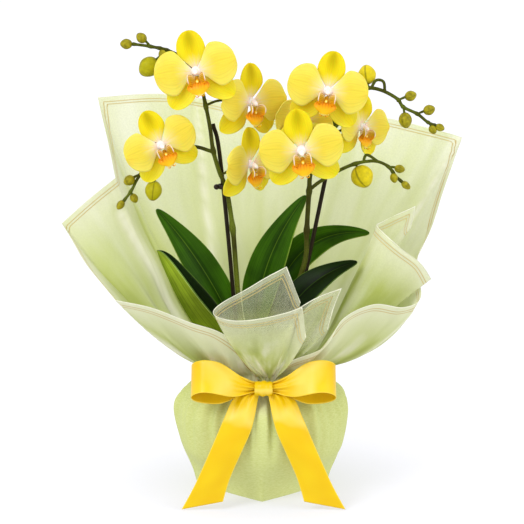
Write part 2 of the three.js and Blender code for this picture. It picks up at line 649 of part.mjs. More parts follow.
function bow() {
  const knot = new THREE.SphereGeometry(1, 8, 6);
  knot.scale(9.5, 6.5, 7.5).translate(KNOT.x, KNOT.y, KNOT.z - 1);
  const pieces = [solid(knot)];
  for (const sign of [-1, 1]) {
    pieces.push(skin((u, v) => loopPoint(sign, u, v), 3, 16, RIBBON_T));
    pieces.push(skin((u, v) => tailPoint(sign, u, v), 3, 8, RIBBON_T));
  }
  return join(pieces);
}

// Clip: a small dark claw round the left stem and its stake.
function clip() {
  const middle = V(-37.6, -4.8, 306);
  const outline = new THREE.Shape().absellipse(0, 0, 6.2, 8.8, 0, Math.PI * 2);
  outline.holes.push(new THREE.Path().absellipse(0, 0, 4.5, 7.1, 0, Math.PI * 2, true));
  const ring = new THREE.ExtrudeGeometry(outline, { depth: 4.6, bevelEnabled: false, curveSegments: 6 });
  ring.rotateZ(rad(24)).translate(middle.x, middle.y, middle.z - 2.3);
  const ear = (x, y, z) => egg(V(middle.x + x, middle.y + y, middle.z + z), V(1, 0, 0), 2.8, 1, 5, 4);
  return join([solid(ring), ear(-7.4, -2, 0), ear(7.2, -0.5, 2.6)]);
}

const stakeLine = (points, grow) => stem(points, STAKE_R + grow, STAKE_R + grow, 4, 6, grow);
const STAKE_LEFT = [[-18, -1, 24], [-24, -1, 130], [-32, -1, 235], [-42.2, -1, 340], [-48.5, -0.5, 368]];
const STAKE_RIGHT = [[6, 12, 24], [26, 11, 130], [48, 10, 236], [68, 10, 336]];

// Assembly
const orchid = new THREE.Group();

function place(name, made, material, parent = orchid) {
  const mesh = new THREE.Mesh(geometryOf(made), material);
  mesh.name = name;
  parent.add(mesh);
}

const stakeHoles = join([stakeLine(STAKE_LEFT, SEAT_GAP), stakeLine(STAKE_RIGHT, SEAT_GAP)]);
const crownSolid = crownBody(0).add(roots(0));
const crownClear = crownBody(SEAT_GAP).add(roots(SEAT_GAP));
place('pot', pot(), plastic);
place('bark', barkFill().subtract(crownClear).subtract(stakeHoles), bark);
place('crown', crownSolid.subtract(stakeHoles), green);
place('stake_left', stakeLine(STAKE_LEFT, 0), darkStake);
place('stake_right', stakeLine(STAKE_RIGHT, 0), darkStake);
place('stake_clip', clip(), darkStake);

const stemsClear = join([spike(SPIKE_LEFT, SEAT_GAP), spike(SPIKE_RIGHT, SEAT_GAP), stakeHoles]);
let taken = crownClear.add(stemsClear);
for (const [name, spec] of Object.entries(LEAVES)) {
  place(name, leaf(spec, LEAF_THICK).subtract(taken), leafGreen);
  taken = taken.add(leaf(spec, LEAF_THICK + 2 * SEAT_GAP));
}
place('spike_left', spike(SPIKE_LEFT).subtract(crownClear), green);
place('spike_right', spike(SPIKE_RIGHT).subtract(crownClear), green);

const lipSolid = lip();
for (const [name, spec] of Object.entries(BLOOMS)) {
  const bloom = bloomFrame(spec);
  place(`bloom_${name}_tepals`, tepals(spec.lean), yellow, bloom);
  place(`bloom_${name}_lip`, lipSolid, orange, bloom);
  orchid.add(bloom);
}

const mainSheet = skin(mainWrapPoint, MAIN_HEM.length * 2, ROWS, WRAP_THICK, { round: true, pole: true });
const sideSheet = sheet(SIDE_SHEET, () => NECK_R - 7.5, NECK_Z + 10, 0.34, 0.2, 2, 5, 0.12);
const frontFoot = (u) => mix(70.5, 66.5, u);
const frontSheet = sheet(FRONT_SHEET, frontFoot, NECK_Z + 7, 0.55, 0.33, 2, 5, 0.12);
const cornerSheet = sheet(CORNER_SHEET, () => NECK_R - 5, NECK_Z + 10, 0.4, 0.25, 2, 5, 0.12);
place('wrap_main', mainSheet, wrapGreen);
place('wrap_side', sideSheet, wrapGreen);
place('wrap_front', frontSheet, wrapGreen);
place('wrap_corner', cornerSheet, wrapGreen);
place('ribbon_band', band(), satin);
place('ribbon_bow', bow(), satin);

export default orchid;
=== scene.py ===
# A yellow moth orchid with two flower spikes, in a nursery pot that is gift-wrapped in a stiff
# see-through sheet and tied with a satin ribbon.
# Metres, +Z up, the bow towards -Y. Sizes are written in millimetres and multiplied by MM.
import random
from math import atan2, copysign, cos, exp, pi, radians, sin, sqrt

import bmesh
import bpy
import numpy as np
from mathutils import Euler, Matrix, Vector, noise


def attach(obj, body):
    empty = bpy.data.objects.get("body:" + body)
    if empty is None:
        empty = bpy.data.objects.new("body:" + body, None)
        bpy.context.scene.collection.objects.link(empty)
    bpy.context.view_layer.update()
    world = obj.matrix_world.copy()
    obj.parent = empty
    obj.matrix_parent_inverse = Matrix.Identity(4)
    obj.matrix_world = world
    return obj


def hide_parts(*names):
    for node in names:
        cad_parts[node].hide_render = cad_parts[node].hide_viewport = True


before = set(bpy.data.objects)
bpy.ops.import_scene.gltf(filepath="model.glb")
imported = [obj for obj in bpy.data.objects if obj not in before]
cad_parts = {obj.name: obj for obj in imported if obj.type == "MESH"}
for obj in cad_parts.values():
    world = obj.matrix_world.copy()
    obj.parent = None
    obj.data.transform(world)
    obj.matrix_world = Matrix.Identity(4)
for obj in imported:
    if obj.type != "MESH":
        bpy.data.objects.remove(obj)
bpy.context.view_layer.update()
MM = 0.001

# Camera
# It stands two metres off and looks 11 degrees down at the plant, through a long lens that
# makes a millimetre at the middle of the plant about one pixel wide.
CAMERA_AWAY = 2.0
CAMERA_DOWN = radians(11)
LOOKS_AT = Vector((0, 0, 0.229))
HALF_VIEW = 0.262
SENSOR = 36


def add_object(name, data):
    """Puts a new object into the scene."""
    made = bpy.data.objects.new(name, data)
    bpy.context.scene.collection.objects.link(made)
    return made


lens = bpy.data.cameras.new("camera")
lens.sensor_width = SENSOR
lens.lens = CAMERA_AWAY / HALF_VIEW * SENSOR / 2
camera = add_object("camera", lens)
to_camera = Vector((0, -cos(CAMERA_DOWN), sin(CAMERA_DOWN)))
camera.location = LOOKS_AT + CAMERA_AWAY * to_camera
camera.rotation_euler = (-to_camera).to_track_quat("-Z", "Y").to_euler()
bpy.context.scene.camera = camera

# Nursery pot
# The growing pot inside the wrap: thin injection-moulded polypropylene, tapered, with a deep
# rolled rim. It shows only from above, between the leaves.
POT_PROFILE = [
    (0, 1.15), (36.5, 1.15), (38, 1.5), (39, 2.7), (52, 99.2), (54.6, 99.2), (55, 99.7),
    (55, 106.6), (54.5, 107.15), (51, 107.15), (50.4, 106.6), (37.5, 5.2), (36.6, 4.4), (0, 4.35),
]
TINY = 1e-6


def linear(code):
    """An sRGB hex colour as the linear red, green, blue and alpha that a shader takes."""
    parts = [int(code[i:i + 2], 16) / 255 for i in (1, 3, 5)]
    return (*[c / 12.92 if c < 0.04045 else ((c + 0.055) / 1.055) ** 2.4 for c in parts], 1)


def set_sockets(node, sockets):
    """Gives a node's sockets their values or hex colours, or links them to an output."""
    for name, value in sockets.items():
        if isinstance(value, bpy.types.NodeSocket):
            node.id_data.links.new(value, node.inputs[name])
        else:
            node.inputs[name].default_value = linear(value) if isinstance(value, str) else value


def add_node(tree, kind, sockets={}, **settings):
    """Adds a node with its settings and its sockets' values or links. In place of the tree, it
    takes any socket of the tree too."""
    node = tree.id_data.nodes.new("ShaderNode" + kind)
    for name, value in settings.items():
        setattr(node, name, value)
    set_sockets(node, sockets)
    return node


def new_finish(name, **sockets):
    """A material whose main shader gets these fixed values."""
    finish = bpy.data.materials.new(name)
    finish.use_nodes = True
    values = {key.replace("_", " "): value for key, value in sockets.items()}
    set_sockets(finish.node_tree.nodes["Principled BSDF"], values)
    return finish


def spot(finish, kind):
    """Where a point of the piece is: its Object place in metres, or its UV place."""
    return add_node(finish.node_tree, "TexCoord").outputs[kind]


def stretch(place, scale):
    """A place with its three parts scaled, for a pattern that is longer one way."""
    return add_node(place, "Mapping", {"Vector": place, "Scale": scale}).outputs["Vector"]


def mottle(place, scale, detail, **more):
    """An uneven pattern of soft spots, mostly between 0.3 and 0.7."""
    sockets = {"Vector": place, "Scale": scale, "Detail": detail, **more}
    return add_node(place, "TexNoise", sockets).outputs["Fac"]


def ramp(value, *stops):
    """The colour or grey at value between stops, of which the first two are the ends."""
    node = add_node(value, "ValToRGB", {"Fac": value})
    elements = node.color_ramp.elements
    for place, (at, colour) in enumerate(stops):
        stop = elements[place] if place < 2 else elements.new(at)
        stop.position = at
        stop.color = linear(colour) if isinstance(colour, str) else (colour, colour, colour, 1)
    return node.outputs["Color"]


def surface(finish, colour, height=None, strength=0, deep=0, **under):
    """Gives the main shader its colour, and the relief of height, this deep in metres, and
    returns the finish."""
    sockets = {"Base Color": colour}
    if height is not None:
        relief = {"Height": height, "Strength": strength, "Distance": deep, **under}
        sockets["Normal"] = add_node(height, "Bump", relief).outputs["Normal"]
    set_sockets(finish.node_tree.nodes["Principled BSDF"], sockets)
    return finish


def make_piece(name, bm, finishes, nodes=(), thickness=0, outward=False):
    """Turns a bmesh into a smooth piece of the plant, which may stand for CAD nodes."""
    if outward:
        bmesh.ops.recalc_face_normals(bm, faces=bm.faces)
    mesh = bpy.data.meshes.new(name)
    bm.to_mesh(mesh)
    bm.free()
    mesh.shade_smooth()
    for finish in finishes:
        mesh.materials.append(finish)
    piece = add_object(name, mesh)
    if thickness:
        wall = piece.modifiers.new("thickness", "SOLIDIFY")
        wall.thickness = thickness * MM
        wall.offset = 0
    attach(piece, "root")
    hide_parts(*nodes)
    return piece


def cloudy_polypropylene():
    """Moulded polypropylene: a milky grey with faint upright flow marks and a soft gloss."""
    finish = new_finish("cloudy_polypropylene", Roughness=0.42, IOR=1.49)
    flow = mottle(stretch(spot(finish, "Object"), (1, 1, 0.06)), 260, 3)
    return surface(finish, ramp(flow, (0.35, "#b9bab3"), (0.7, "#d6d7d1")), flow, 0.15, 0.0004)


bm = bmesh.new()
turned = [bm.verts.new((r * MM, 0, z * MM)) for r, z in POT_PROFILE]
outline = [bm.edges.new(pair) for pair in zip(turned, turned[1:])]
bmesh.ops.spin(bm, geom=turned + outline, cent=(0, 0, 0), axis=(0, 0, 1), angle=2 * pi,
               steps=72, use_merge=True, use_duplicate=False)
bmesh.ops.remove_doubles(bm, verts=bm.verts, dist=TINY)
make_piece("nursery_pot", bm, [cloudy_polypropylene()], ["pot"], outward=True)

# Bark
# Chipped pine bark that the roots grow in. The filling is the CAD piece, and loose chips of
# 7 to 15 mm lie on it.
CHIP_COUNT = 230
CHIP_SPREAD = 45
BARK_TOP = 97.5
CROWN = Vector((-4, 0, 112))
CROWN_CLEAR = 14


def blend(share, under, over):
    """This share of the colour over mixed into the colour under."""
    return add_node(share, "MixRGB", {"Fac": share, "Color1": under, "Color2": over}).outputs["Color"]


def pine_bark():
    """Pine bark: layered brown cork, dark in its cracks, with no shine."""
    finish = new_finish("pine_bark", Roughness=0.92)
    place = spot(finish, "Object")
    layers = mottle(place, 190, 5, Roughness=0.7)
    clods = add_node(place, "TexVoronoi", {"Vector": place, "Scale": 130}).outputs["Distance"]
    tone = ramp(layers, (0.3, "#1f140d"), (0.72, "#8a6444"), (0.52, "#4a3323"))
    return surface(finish, blend(clods, tone, "#5d4632"), layers, 0.7, 0.001)


bark_finish = pine_bark()
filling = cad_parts["bark"]
filling.data.materials.clear()
filling.data.materials.append(bark_finish)

random.seed(11)
bm = bmesh.new()
while len(bm.verts) < 8 * CHIP_COUNT:
    angle = random.uniform(0, 2 * pi)
    away = CHIP_SPREAD * sqrt(random.random())
    place = Vector((away * cos(angle), away * sin(angle), BARK_TOP + random.uniform(0, 2.5)))
    if (place.xy - CROWN.xy).length < CROWN_CLEAR:
        continue
    chip = bmesh.ops.create_cube(bm, size=MM)["verts"]
    bmesh.ops.scale(bm, verts=chip, vec=(random.uniform(7, 15), random.uniform(4, 8), random.uniform(1.5, 3)))
    for corner in chip:
        corner.co *= random.uniform(0.8, 1.08)
    lie = Euler((random.gauss(0, 0.25), random.gauss(0, 0.25), random.uniform(0, 6.3)))
    bmesh.ops.rotate(bm, verts=chip, cent=(0, 0, 0), matrix=lie.to_matrix())
    bmesh.ops.translate(bm, verts=chip, vec=place * MM)
make_piece("bark_chips", bm, [bark_finish])

# Crown and roots
# The short trunk that leaves and spikes grow from, wrapped in old leaf sheaths, and its thick
# air roots, which are silvery where they are dry. They grow into the bark.
ROOT_ANGLES = (20, 130, 250)


def mix(a, b, t):
    return a + (b - a) * t


def smooth(t):
    """Rises softly from 0 to 1 as t does."""
    t = min(1, max(0, t))
    return t * t * (3 - 2 * t)


def curve(a, b, c, d, f):
    """A point of the smooth curve through four points, f of the way from b to c."""
    bend = (2 * a - 5 * b + 4 * c - d) * f * f + (3 * b - a - 3 * c + d) * f ** 3
    return 0.5 * (2 * b + (c - a) * f + bend)


def smooth_path(points, steps):
    """Evenly numbered points on the smooth curve that passes through the given ones."""
    through = [Vector(point) for point in points]
    through = [2 * through[0] - through[1], *through, 2 * through[-1] - through[-2]]
    spans = len(points) - 1
    path = []
    for step in range(steps + 1):
        place = step / steps * spans
        k = min(int(place), spans - 1)
        path.append(curve(*through[k:k + 4], place - k))
    return path


def give_finish(verts, finish):
    """Gives the faces at these vertices one of their piece's finishes, by its number."""
    for vert in verts:
        for face in vert.link_faces:
            face.material_index = finish
    return verts


def bend_grid(bm, across, along, place, finish=0):
    """Adds a grid whose corners move to place(u, v), and returns its vertices. Where u or v end
    in a point or meet themselves, the doubles are merged."""
    bm.loops.layers.uv.verify()
    made = bmesh.ops.create_grid(bm, x_segments=across, y_segments=along, size=0.5, calc_uvs=True)["verts"]
    for vert in made:
        vert.co = place(vert.co.x + 0.5, vert.co.y + 0.5) * MM
    bmesh.ops.remove_doubles(bm, verts=made, dist=TINY)
    return give_finish([vert for vert in made if vert.is_valid], finish)


def bend_ball(bm, around, up, place, finish=0):
    """Adds a ball of radius 1 whose corners move to place(x, y, z)."""
    bm.loops.layers.uv.verify()
    made = bmesh.ops.create_uvsphere(bm, u_segments=around, v_segments=up, radius=1, calc_uvs=True)["verts"]
    for vert in made:
        vert.co = place(*vert.co) * MM
    give_finish(made, finish)


def add_tube(bm, path, thick, sides):
    """A tube along path with round ends. thick(share) is its radius, share of the way along."""
    last = len(path) - 1
    ways = [(path[min(i + 1, last)] - path[max(i - 1, 0)]).normalized() for i in range(last + 1)]
    normal = ways[0].orthogonal().normalized()
    normals = []
    for way in ways:
        normal = (normal - way * normal.dot(way)).normalized()
        normals.append(normal)

    def place(u, v):
        i = min(last, max(0, round(v * (last + 2)) - 1))
        if v < TINY or v > 1 - TINY:
            return path[i]
        turn = 2 * pi * u
        outward = normals[i] * cos(turn) + ways[i].cross(normals[i]) * sin(turn)
        return path[i] + outward * thick(i / last)

    return bend_grid(bm, sides, last + 2, place)


def air_root():
    """Orchid root and crown: silver-grey velamen over green, which shows through in patches."""
    finish = new_finish("air_root", Roughness=0.7)
    place = spot(finish, "Object")
    tone = ramp(mottle(place, 70, 4), (0.38, "#4c6a2c"), (0.62, "#a4b190"))
    return surface(finish, tone, mottle(place, 900, 2), 0.3, 0.0004)


def trunk_point(x, y, z):
    """A point of the trunk, ringed by old sheaths."""
    sheath = 1 + 0.05 * sin(9 * z + 2 * atan2(y, x))
    return CROWN + Vector((10 * sheath * x, 10 * sheath * y, 15 * z))


bm = bmesh.new()
bend_ball(bm, 28, 20, trunk_point)
foot = smooth_path([(CROWN.x, 0, 70), (CROWN.x, 0, 90), (CROWN.x, 0, 108)], 8)
add_tube(bm, foot, lambda share: mix(6, 7, share), 20)
for i, degrees in enumerate(ROOT_ANGLES):
    way = Vector((cos(radians(degrees)), sin(radians(degrees)), 0))
    reach = 30 + 4 * (i % 2)
    line = [(4, 104), (0.5 * reach, 105.2), (reach, 100.2), (reach + 3, 82)]
    root = smooth_path([Vector((CROWN.x, 0, z)) + way * away for away, z in line], 24)
    add_tube(bm, root, lambda share: mix(3.1, 2.4, share), 14)
make_piece("crown_and_roots", bm, [air_root()], ["crown"], outward=True)

# Stakes
# Two thin canes of split bamboo stained almost black, pushed into the bark behind the spikes.
# Their fibres run lengthwise and catch a little light.
STAKES = {
    "stake_left": [(-18, -1, 24), (-24, -1, 130), (-32, -1, 235), (-42.2, -1, 340), (-48.5, -0.5, 368)],
    "stake_right": [(6, 12, 24), (26, 11, 130), (48, 10, 236), (68, 10, 336)],
}


def stained_cane():
    """Stained bamboo: nearly black brown with paler fibres along it, and a dull sheen."""
    finish = new_finish("stained_cane", Roughness=0.5, Specular_IOR_Level=0.15)
    grain = mottle(stretch(spot(finish, "UV"), (9, 1.5, 1)), 3, 5)
    return surface(finish, ramp(grain, (0.42, "#0d0a05"), (0.74, "#43351d")), grain, 0.3, 0.0003)


cane_finish = stained_cane()
for name, points in STAKES.items():
    bm = bmesh.new()
    add_tube(bm, smooth_path(points, 48), lambda share: 2.1 + 0.12 * (share * 3 % 1 > 0.97), 14)
    make_piece(name + "_cane", bm, [cane_finish], [name], outward=True)

# Stem clip
# A little sprung claw of black-brown plastic that holds the left spike to its stake. It is one
# moulding: an oval ring with a gripping ear at each side.
CLIP_AT = Vector((-37.6, -4.8, 306))
CLIP_TURN = radians(24)
CLIP_EARS = ((-7.4, -2, 0), (7.2, -0.5, 2.6))


def black_nylon():
    """Moulded nylon: warm black, satin, a little scuffed."""
    finish = new_finish("black_nylon", Roughness=0.4, IOR=1.53, Specular_IOR_Level=0.15)
    scuff = mottle(spot(finish, "Object"), 600, 3)
    return surface(finish, ramp(scuff, (0.35, "#17130f"), (0.75, "#3a2f25")))


bm = bmesh.new()
oval = []
for step in range(41):
    turn = 2 * pi * step / 40
    flat = Matrix.Rotation(CLIP_TURN, 2) @ Vector((5.4 * cos(turn), 8 * sin(turn)))
    oval.append(CLIP_AT + Vector((flat.x, flat.y, 0)))
for vert in add_tube(bm, oval, lambda share: 0.9, 12):
    vert.co.z = CLIP_AT.z * MM + (vert.co.z - CLIP_AT.z * MM) * 2.4
for ear in CLIP_EARS:
    bend_ball(bm, 16, 12, lambda x, y, z: CLIP_AT + Vector(ear) + 2.8 * Vector((x, y, z)))
make_piece("clip_claw", bm, [black_nylon()], ["stake_clip"], outward=True)

# Leaves
# Five thick strap leaves, folded along the midrib where they leave the crown and flatter
# towards the tip. Their upper side is dark and waxy, and the underside pale and duller.
# foot, bend and tip steer the midrib, and faces is the way the upper side looks. kept is how much
# of the fold is left towards the tip, and taper how much of the width. The two lower leaves get a
# darker copy of the upper side: painted shade, for the shade they lie in under the rest of the plant.
LEAVES = {
    "leaf_left_upper": dict(foot=(-9, 3, 112), bend=(-44, 8, 214), tip=(-106, 15, 280),
                            faces=(0.3, -0.85, 0.35), half=18, fold=16),
    "leaf_left_lower": dict(foot=(-10, -3, 110), bend=(-68, -36, 148), tip=(-103, -28, 246),
                            faces=(0.74, -0.2, 0.6), half=34, fold=62, kept=1, taper=0.9),
    "leaf_centre": dict(foot=(-1, 4, 114), bend=(-20, 5, 212), tip=(44, 2, 296),
                        faces=(-0.35, -0.85, 0.3), half=20, fold=14),
    "leaf_right_upper": dict(foot=(3, 6, 112), bend=(6, 30, 264), tip=(109, 34, 252),
                             faces=(-0.1, -0.78, 0.6), half=18, fold=20),
    "leaf_right_lower": dict(foot=(3, -5, 110), bend=(18, -38, 216), tip=(94, -26, 234),
                             faces=(-0.15, -0.7, 0.7), half=17, fold=22),
}
LEAF_THICK = 1.6


def lens(u, v):
    """How far a point of a blade with two pointed ends is along it, 0 to 1, and across it, -1 to
    1 where it is widest."""
    return (1 - cos(pi * v)) / 2, (2 * u - 1) * sin(pi * v)


def leaf_point(foot, bend, tip, faces, half, fold, u, v, kept=0.55, taper=0.62):
    """A point of the leaf's middle surface, u across and v from foot to tip."""
    t, a = lens(u, v)
    s = 1 - t
    foot, bend, tip = Vector(foot), Vector(bend), Vector(tip)
    midrib = foot * s * s + bend * 2 * s * t + tip * t * t
    way = ((bend - foot) * s + (tip - bend) * t).normalized()
    side = way.cross(Vector(faces)).normalized()
    up = side.cross(way).normalized()
    wide = half * mix(0.42, 1, smooth((t - 0.05) / 0.45)) * mix(1, taper, smooth((t - 0.6) / 0.4))
    lift = radians(mix(fold + 26, fold * kept, smooth(t / 0.8)))
    out = sqrt(a * a + 0.0016) - 0.04
    wave = 0.5 * sin(9 * t + half) * a * abs(a)
    rise = out * wide * sin(lift) - 2.2 * a * a + wave
    return midrib + side * a * wide * cos(lift) + up * rise


def calc(operation, *values, **settings):
    """What the operation makes of the values, of which the first is an output."""
    node = add_node(values[0], "Math", dict(enumerate(values)), operation=operation, **settings)
    return node.outputs["Value"]


def remap(value, low, high, at_low=0, at_high=1, soft=False):
    """Goes from at_low to at_high while value goes from low to high."""
    sockets = {"Value": value, "From Min": low, "From Max": high, "To Min": at_low, "To Max": at_high}
    way = "SMOOTHSTEP" if soft else "LINEAR"
    return add_node(value, "MapRange", sockets, interpolation_type=way).outputs["Result"]


def off(value, middle):
    """How far value is from middle."""
    return calc("ABSOLUTE", calc("SUBTRACT", value, middle))


def shaded(colour, value, low, high, dark, light):
    """The colour made darker or lighter while value goes from low to high."""
    sockets = {"Fac": 1, "Color1": colour, "Color2": remap(value, low, high, dark, light)}
    return add_node(colour, "MixRGB", sockets, blend_type="MULTIPLY").outputs["Color"]


def part(place, way):
    """A place's part along X, Y or Z. For a UV place, X is across the piece and Y along it."""
    return add_node(place, "SeparateXYZ", {"Vector": place}).outputs[way]


def leaf_skin(name, midrib, body, deep, rim, gloss):
    """Waxy leaf: fine parallel veins, a pale midrib and rim, and cloudy tone across the blade, whose lighter
    patches are partly painted glossy highlights.
    """
    finish = new_finish(name, Roughness=gloss, IOR=1.45, Specular_IOR_Level=0.06)
    uv = spot(finish, "UV")
    tone = ramp(off(part(uv, "X"), 0.5), (0.0, midrib), (0.5, rim), (0.008, midrib), (0.02, deep),
                (0.2, body), (0.48, body))
    # The cloudy tone is partly the blade's own and partly painted glossy highlights
    tone = shaded(tone, mottle(spot(finish, "Object"), 24, 3), 0.3, 0.7, 0.6, 1.3)
    veins = mottle(stretch(uv, (46, 2, 1)), 1, 2)
    return surface(finish, shaded(tone, veins, 0.35, 0.65, 0.72, 1.25), veins, 0.12, 0.0006)


upper_side = leaf_skin("leaf_upper_side", "#4c6c14", "#305605", "#1c3a02", "#7f9a38", 0.34)
# A darker copy of the upper side: painted shade for the two lower leaves
shaded_upper_side = leaf_skin("shaded_leaf_upper_side", "#2a430c", "#0e2001", "#050e00", "#55722a", 0.34)
underside = leaf_skin("leaf_underside", "#b9c968", "#7f9424", "#687f16", "#c3d07a", 0.5)
for name, shape in LEAVES.items():
    bm = bmesh.new()
    bend_grid(bm, 24, 72, lambda u, v: leaf_point(**shape, u=u, v=v))
    # The lower leaves take the darker copy, which is painted shade
    top = shaded_upper_side if name.endswith("lower") else upper_side
    blade = make_piece(name + "_blade", bm, [top, underside], [name], LEAF_THICK)
    blade.modifiers["thickness"].material_offset = 1

# Flower spikes
# Two green-brown stems, each with a side branch, short stalks to the blooms, swollen joints with
# a dry bract, and the unopened buds. main and branch are their lines. A bud has the place where
# its stalk starts, its middle, its radius and how long it is for its width.
SPIKES = {
    "spike_left": dict(
        main=[(-11, -5, 116), (-17, -9, 150), (-23, -11, 190), (-26, -10, 226), (-29, -9, 264),
              (-35, -8, 303), (-42, -8, 321), (-48, -8, 342), (-51, -7, 364), (-55, -6, 385),
              (-62, -2, 412), (-76, 2, 431), (-92, 0, 440), (-109, 0, 444), (-127, 0, 446.5)],
        branch=[(-48, -8, 341), (-66, -6, 346), (-86, -5, 345), (-105, -6, 335), (-120, -8, 319),
                (-129, -10, 303), (-137, -10, 292)],
        stalks=dict(left_top=[(-57, -5, 396)], left_inner=[(-55, -6, 387), (-42, 0, 391)],
                    left_low=[(-41, -8, 318), (-31, 2, 322)], left_outer=[(-68, -6, 346)]),
        curls=[],
        joints=[(-29, -9, 264), (-48, -8, 342), (-55, -6, 386)],
        buds=[((-126, 0, 446.4), (-133, 0, 446.5), 5.2, 1.15),
              ((-109, 0, 444), (-118, 0, 452.5), 5, 1.15),
              ((-100, 0, 443), (-97, -3, 436), 4.2, 1.3),
              ((-93, 0, 440), (-111, 0, 424), 9.8, 1.12),
              ((-120, -8, 319), (-131, -10, 313), 5.2, 1.15),
              ((-130, -10, 302), (-126.5, -9, 295), 4, 1.25),
              ((-136, -10, 294), (-140, -10, 288.5), 3.8, 1.4),
              ((-103, -6, 336), (-107, -15, 303.5), 8.4, 1.2)],
    ),
    "spike_right": dict(
        main=[(1, -5, 116), (12, -10, 150), (28, -9, 190), (39, -7, 218), (44, -5, 238),
              (44.6, -4, 264), (46.7, -3, 300), (48, -2, 318), (55, -2, 338), (66, -2, 355),
              (75, -3, 370), (84, -4, 390), (94, -5, 402), (106, -6, 404), (119, -6, 401),
              (133, -5, 393), (139, -4, 385), (153, -3, 378), (163, -2, 370), (171, -2, 366.5)],
        branch=[(47.5, -3, 303), (59, -4, 312), (78, -5, 323), (92, -6, 329), (105, -6, 331.5),
                (115, -6, 331), (125, -6, 326), (132, -6, 317), (139.5, -6, 310)],
        stalks=dict(right_top=[(72, -2, 365)], right_front=[(49.5, -2, 324)],
                    right_outer=[(67, -2, 356), (68, 20, 354), (80, 37, 357)],
                    right_back=[(60, -2, 346), (52, 2, 356)]),
        curls=[[(107, -6, 404), (112, -6, 411.5), (119, -6, 410), (120.5, -6, 401)],
               [(100, -6, 330.5), (102, -6, 337), (106, -6, 337), (114, -6, 331.5)]],
        joints=[(44.6, -4, 262), (47.4, -3, 302), (75, -3, 370)],
        buds=[((104, -5, 405), (103, 0, 416.5), 9, 1.1),
              ((134, -5, 392), (146, -4, 396), 5.2, 1.15),
              ((153, -3, 378), (164.5, -3, 382), 5.2, 1.15),
              ((139, -4, 385), (141, -5, 372), 6.6, 1.2),
              ((164, -2, 370), (168.5, -2, 362.5), 4, 1.2),
              ((170, -2, 367), (175.5, -2, 364.5), 3.8, 1.25),
              ((92, -6, 329), (99, -8, 316.5), 11.2, 1.03),
              ((125, -6, 326), (136, -7, 324), 4.2, 1.25),
              ((129, -6, 321), (130.4, -7, 315), 4, 1.25),
              ((137, -6, 312), (142.4, -6, 307.5), 3.6, 1.5)],
    ),
}
# Where each bloom sits: middle, way it looks (yaw to the right, pitch up), roll to the left, size.
# lean is how far its petals' tips come forward.
BLOOMS = {
    "left_top": dict(at=(-64, -30, 423), yaw=-3, pitch=4, roll=13, size=0.97, lean=0),
    "left_outer": dict(at=(-99.2, -22, 350), yaw=12, pitch=0, roll=25, size=0.88, lean=2),
    "left_inner": dict(at=(-11.5, 1, 389.5), yaw=36, pitch=0, roll=-3, size=0.93, lean=9),
    "left_low": dict(at=(-12, -8, 329), yaw=45, pitch=-4, roll=2, size=0.89, lean=9),
    "right_top": dict(at=(63.5, -32, 404), yaw=0, pitch=2, roll=-10, size=0.94, lean=0),
    "right_front": dict(at=(38, -52, 349), yaw=0, pitch=-6, roll=8, size=0.97, lean=0),
    "right_outer": dict(at=(99, 22, 362), yaw=44, pitch=0, roll=-10, size=0.82, lean=9),
    "right_back": dict(at=(42, 20, 369), yaw=-152, pitch=6, roll=5, size=0.8, lean=0),
}
HUB_DEEP = 6.2
BIG_BUD = 8
# A stem's radius at its foot and at its end, and the radius of a curl of a branch's tip
STEM_THICK = (2.8, 1.4)
BRANCH_THICK = (1.9, 1.3)
CURL_THICK = 1.5


def facing_of(bloom):
    """The way a bloom looks."""
    yaw, pitch = radians(bloom["yaw"]), radians(bloom["pitch"])
    return Vector((sin(yaw) * cos(pitch), -cos(yaw) * cos(pitch), sin(pitch)))


def behind(bloom, away):
    """A point on the bloom's axis, this far behind its middle."""
    return Vector(bloom["at"]) - facing_of(bloom) * away


def spike_stem():
    """Flower spike: green flushed with brown, finely speckled, satin."""
    finish = new_finish("spike_stem", Roughness=0.42, IOR=1.45, Specular_IOR_Level=0.1)
    place = spot(finish, "Object")
    tone = ramp(mottle(place, 28, 3), (0.36, "#333209"), (0.66, "#5f6c1b"))
    speck = mottle(place, 1100, 2)
    dots = ramp(speck, (0.3, 0.0), (0.46, 1.0))
    return surface(finish, blend(dots, "#33290f", tone), speck, 0.2, 0.0003)


def bud_skin(name, body, patchy):
    """Bud: yellow-green, with three dark seams and a brown-green foot and point, satin. The
    young ones are more patchy."""
    finish = new_finish(name, Roughness=0.45, IOR=1.45, Specular_IOR_Level=0.15)
    uv = spot(finish, "UV")
    tone = ramp(part(uv, "Y"), (0.0, "#5c5a10"), (1.0, "#6e5f14"), (0.25, body), (0.8, body))
    third = calc("PINGPONG", calc("MULTIPLY", part(uv, "X"), 3), 0.5)
    seamed = blend(ramp(third, (0.0, 0.8), (0.07, 0.0)), tone, "#6d6a0c")
    patch = mottle(spot(finish, "Object"), 260, 4)
    return surface(finish, shaded(seamed, patch, 0.3, 0.7, 1 - patchy, 1 + 0.7 * patchy), patch, 0.2, 0.0005)


def add_bud(bm, middle, way, radius, stretched, finish):
    """An egg with three seams pressed into it, its point along way."""
    stand = way.to_track_quat("Z", "Y")

    def place(x, y, z):
        seam = 1 - 0.07 * exp(-(sin(1.5 * atan2(y, x)) / 0.16) ** 2)
        narrow = seam * (1 - 0.16 * smooth(z))
        return middle + stand @ (Vector((x * narrow, y * narrow, z * stretched)) * radius)

    bend_ball(bm, 30, 20, place, finish)


def joint_swelling(joints, path, wide):
    """A stem's radius with a collar at each joint on it."""
    places = [min(range(len(path)), key=lambda i: (path[i] - Vector(joint)).length) for joint in joints]
    shares = [place / (len(path) - 1) for place in places]

    def thick(share):
        collar = sum(exp(-((share - at) * len(path) / 2.4) ** 2) for at in shares)
        return wide(share) * (1 + 0.4 * min(1, collar))

    return thick


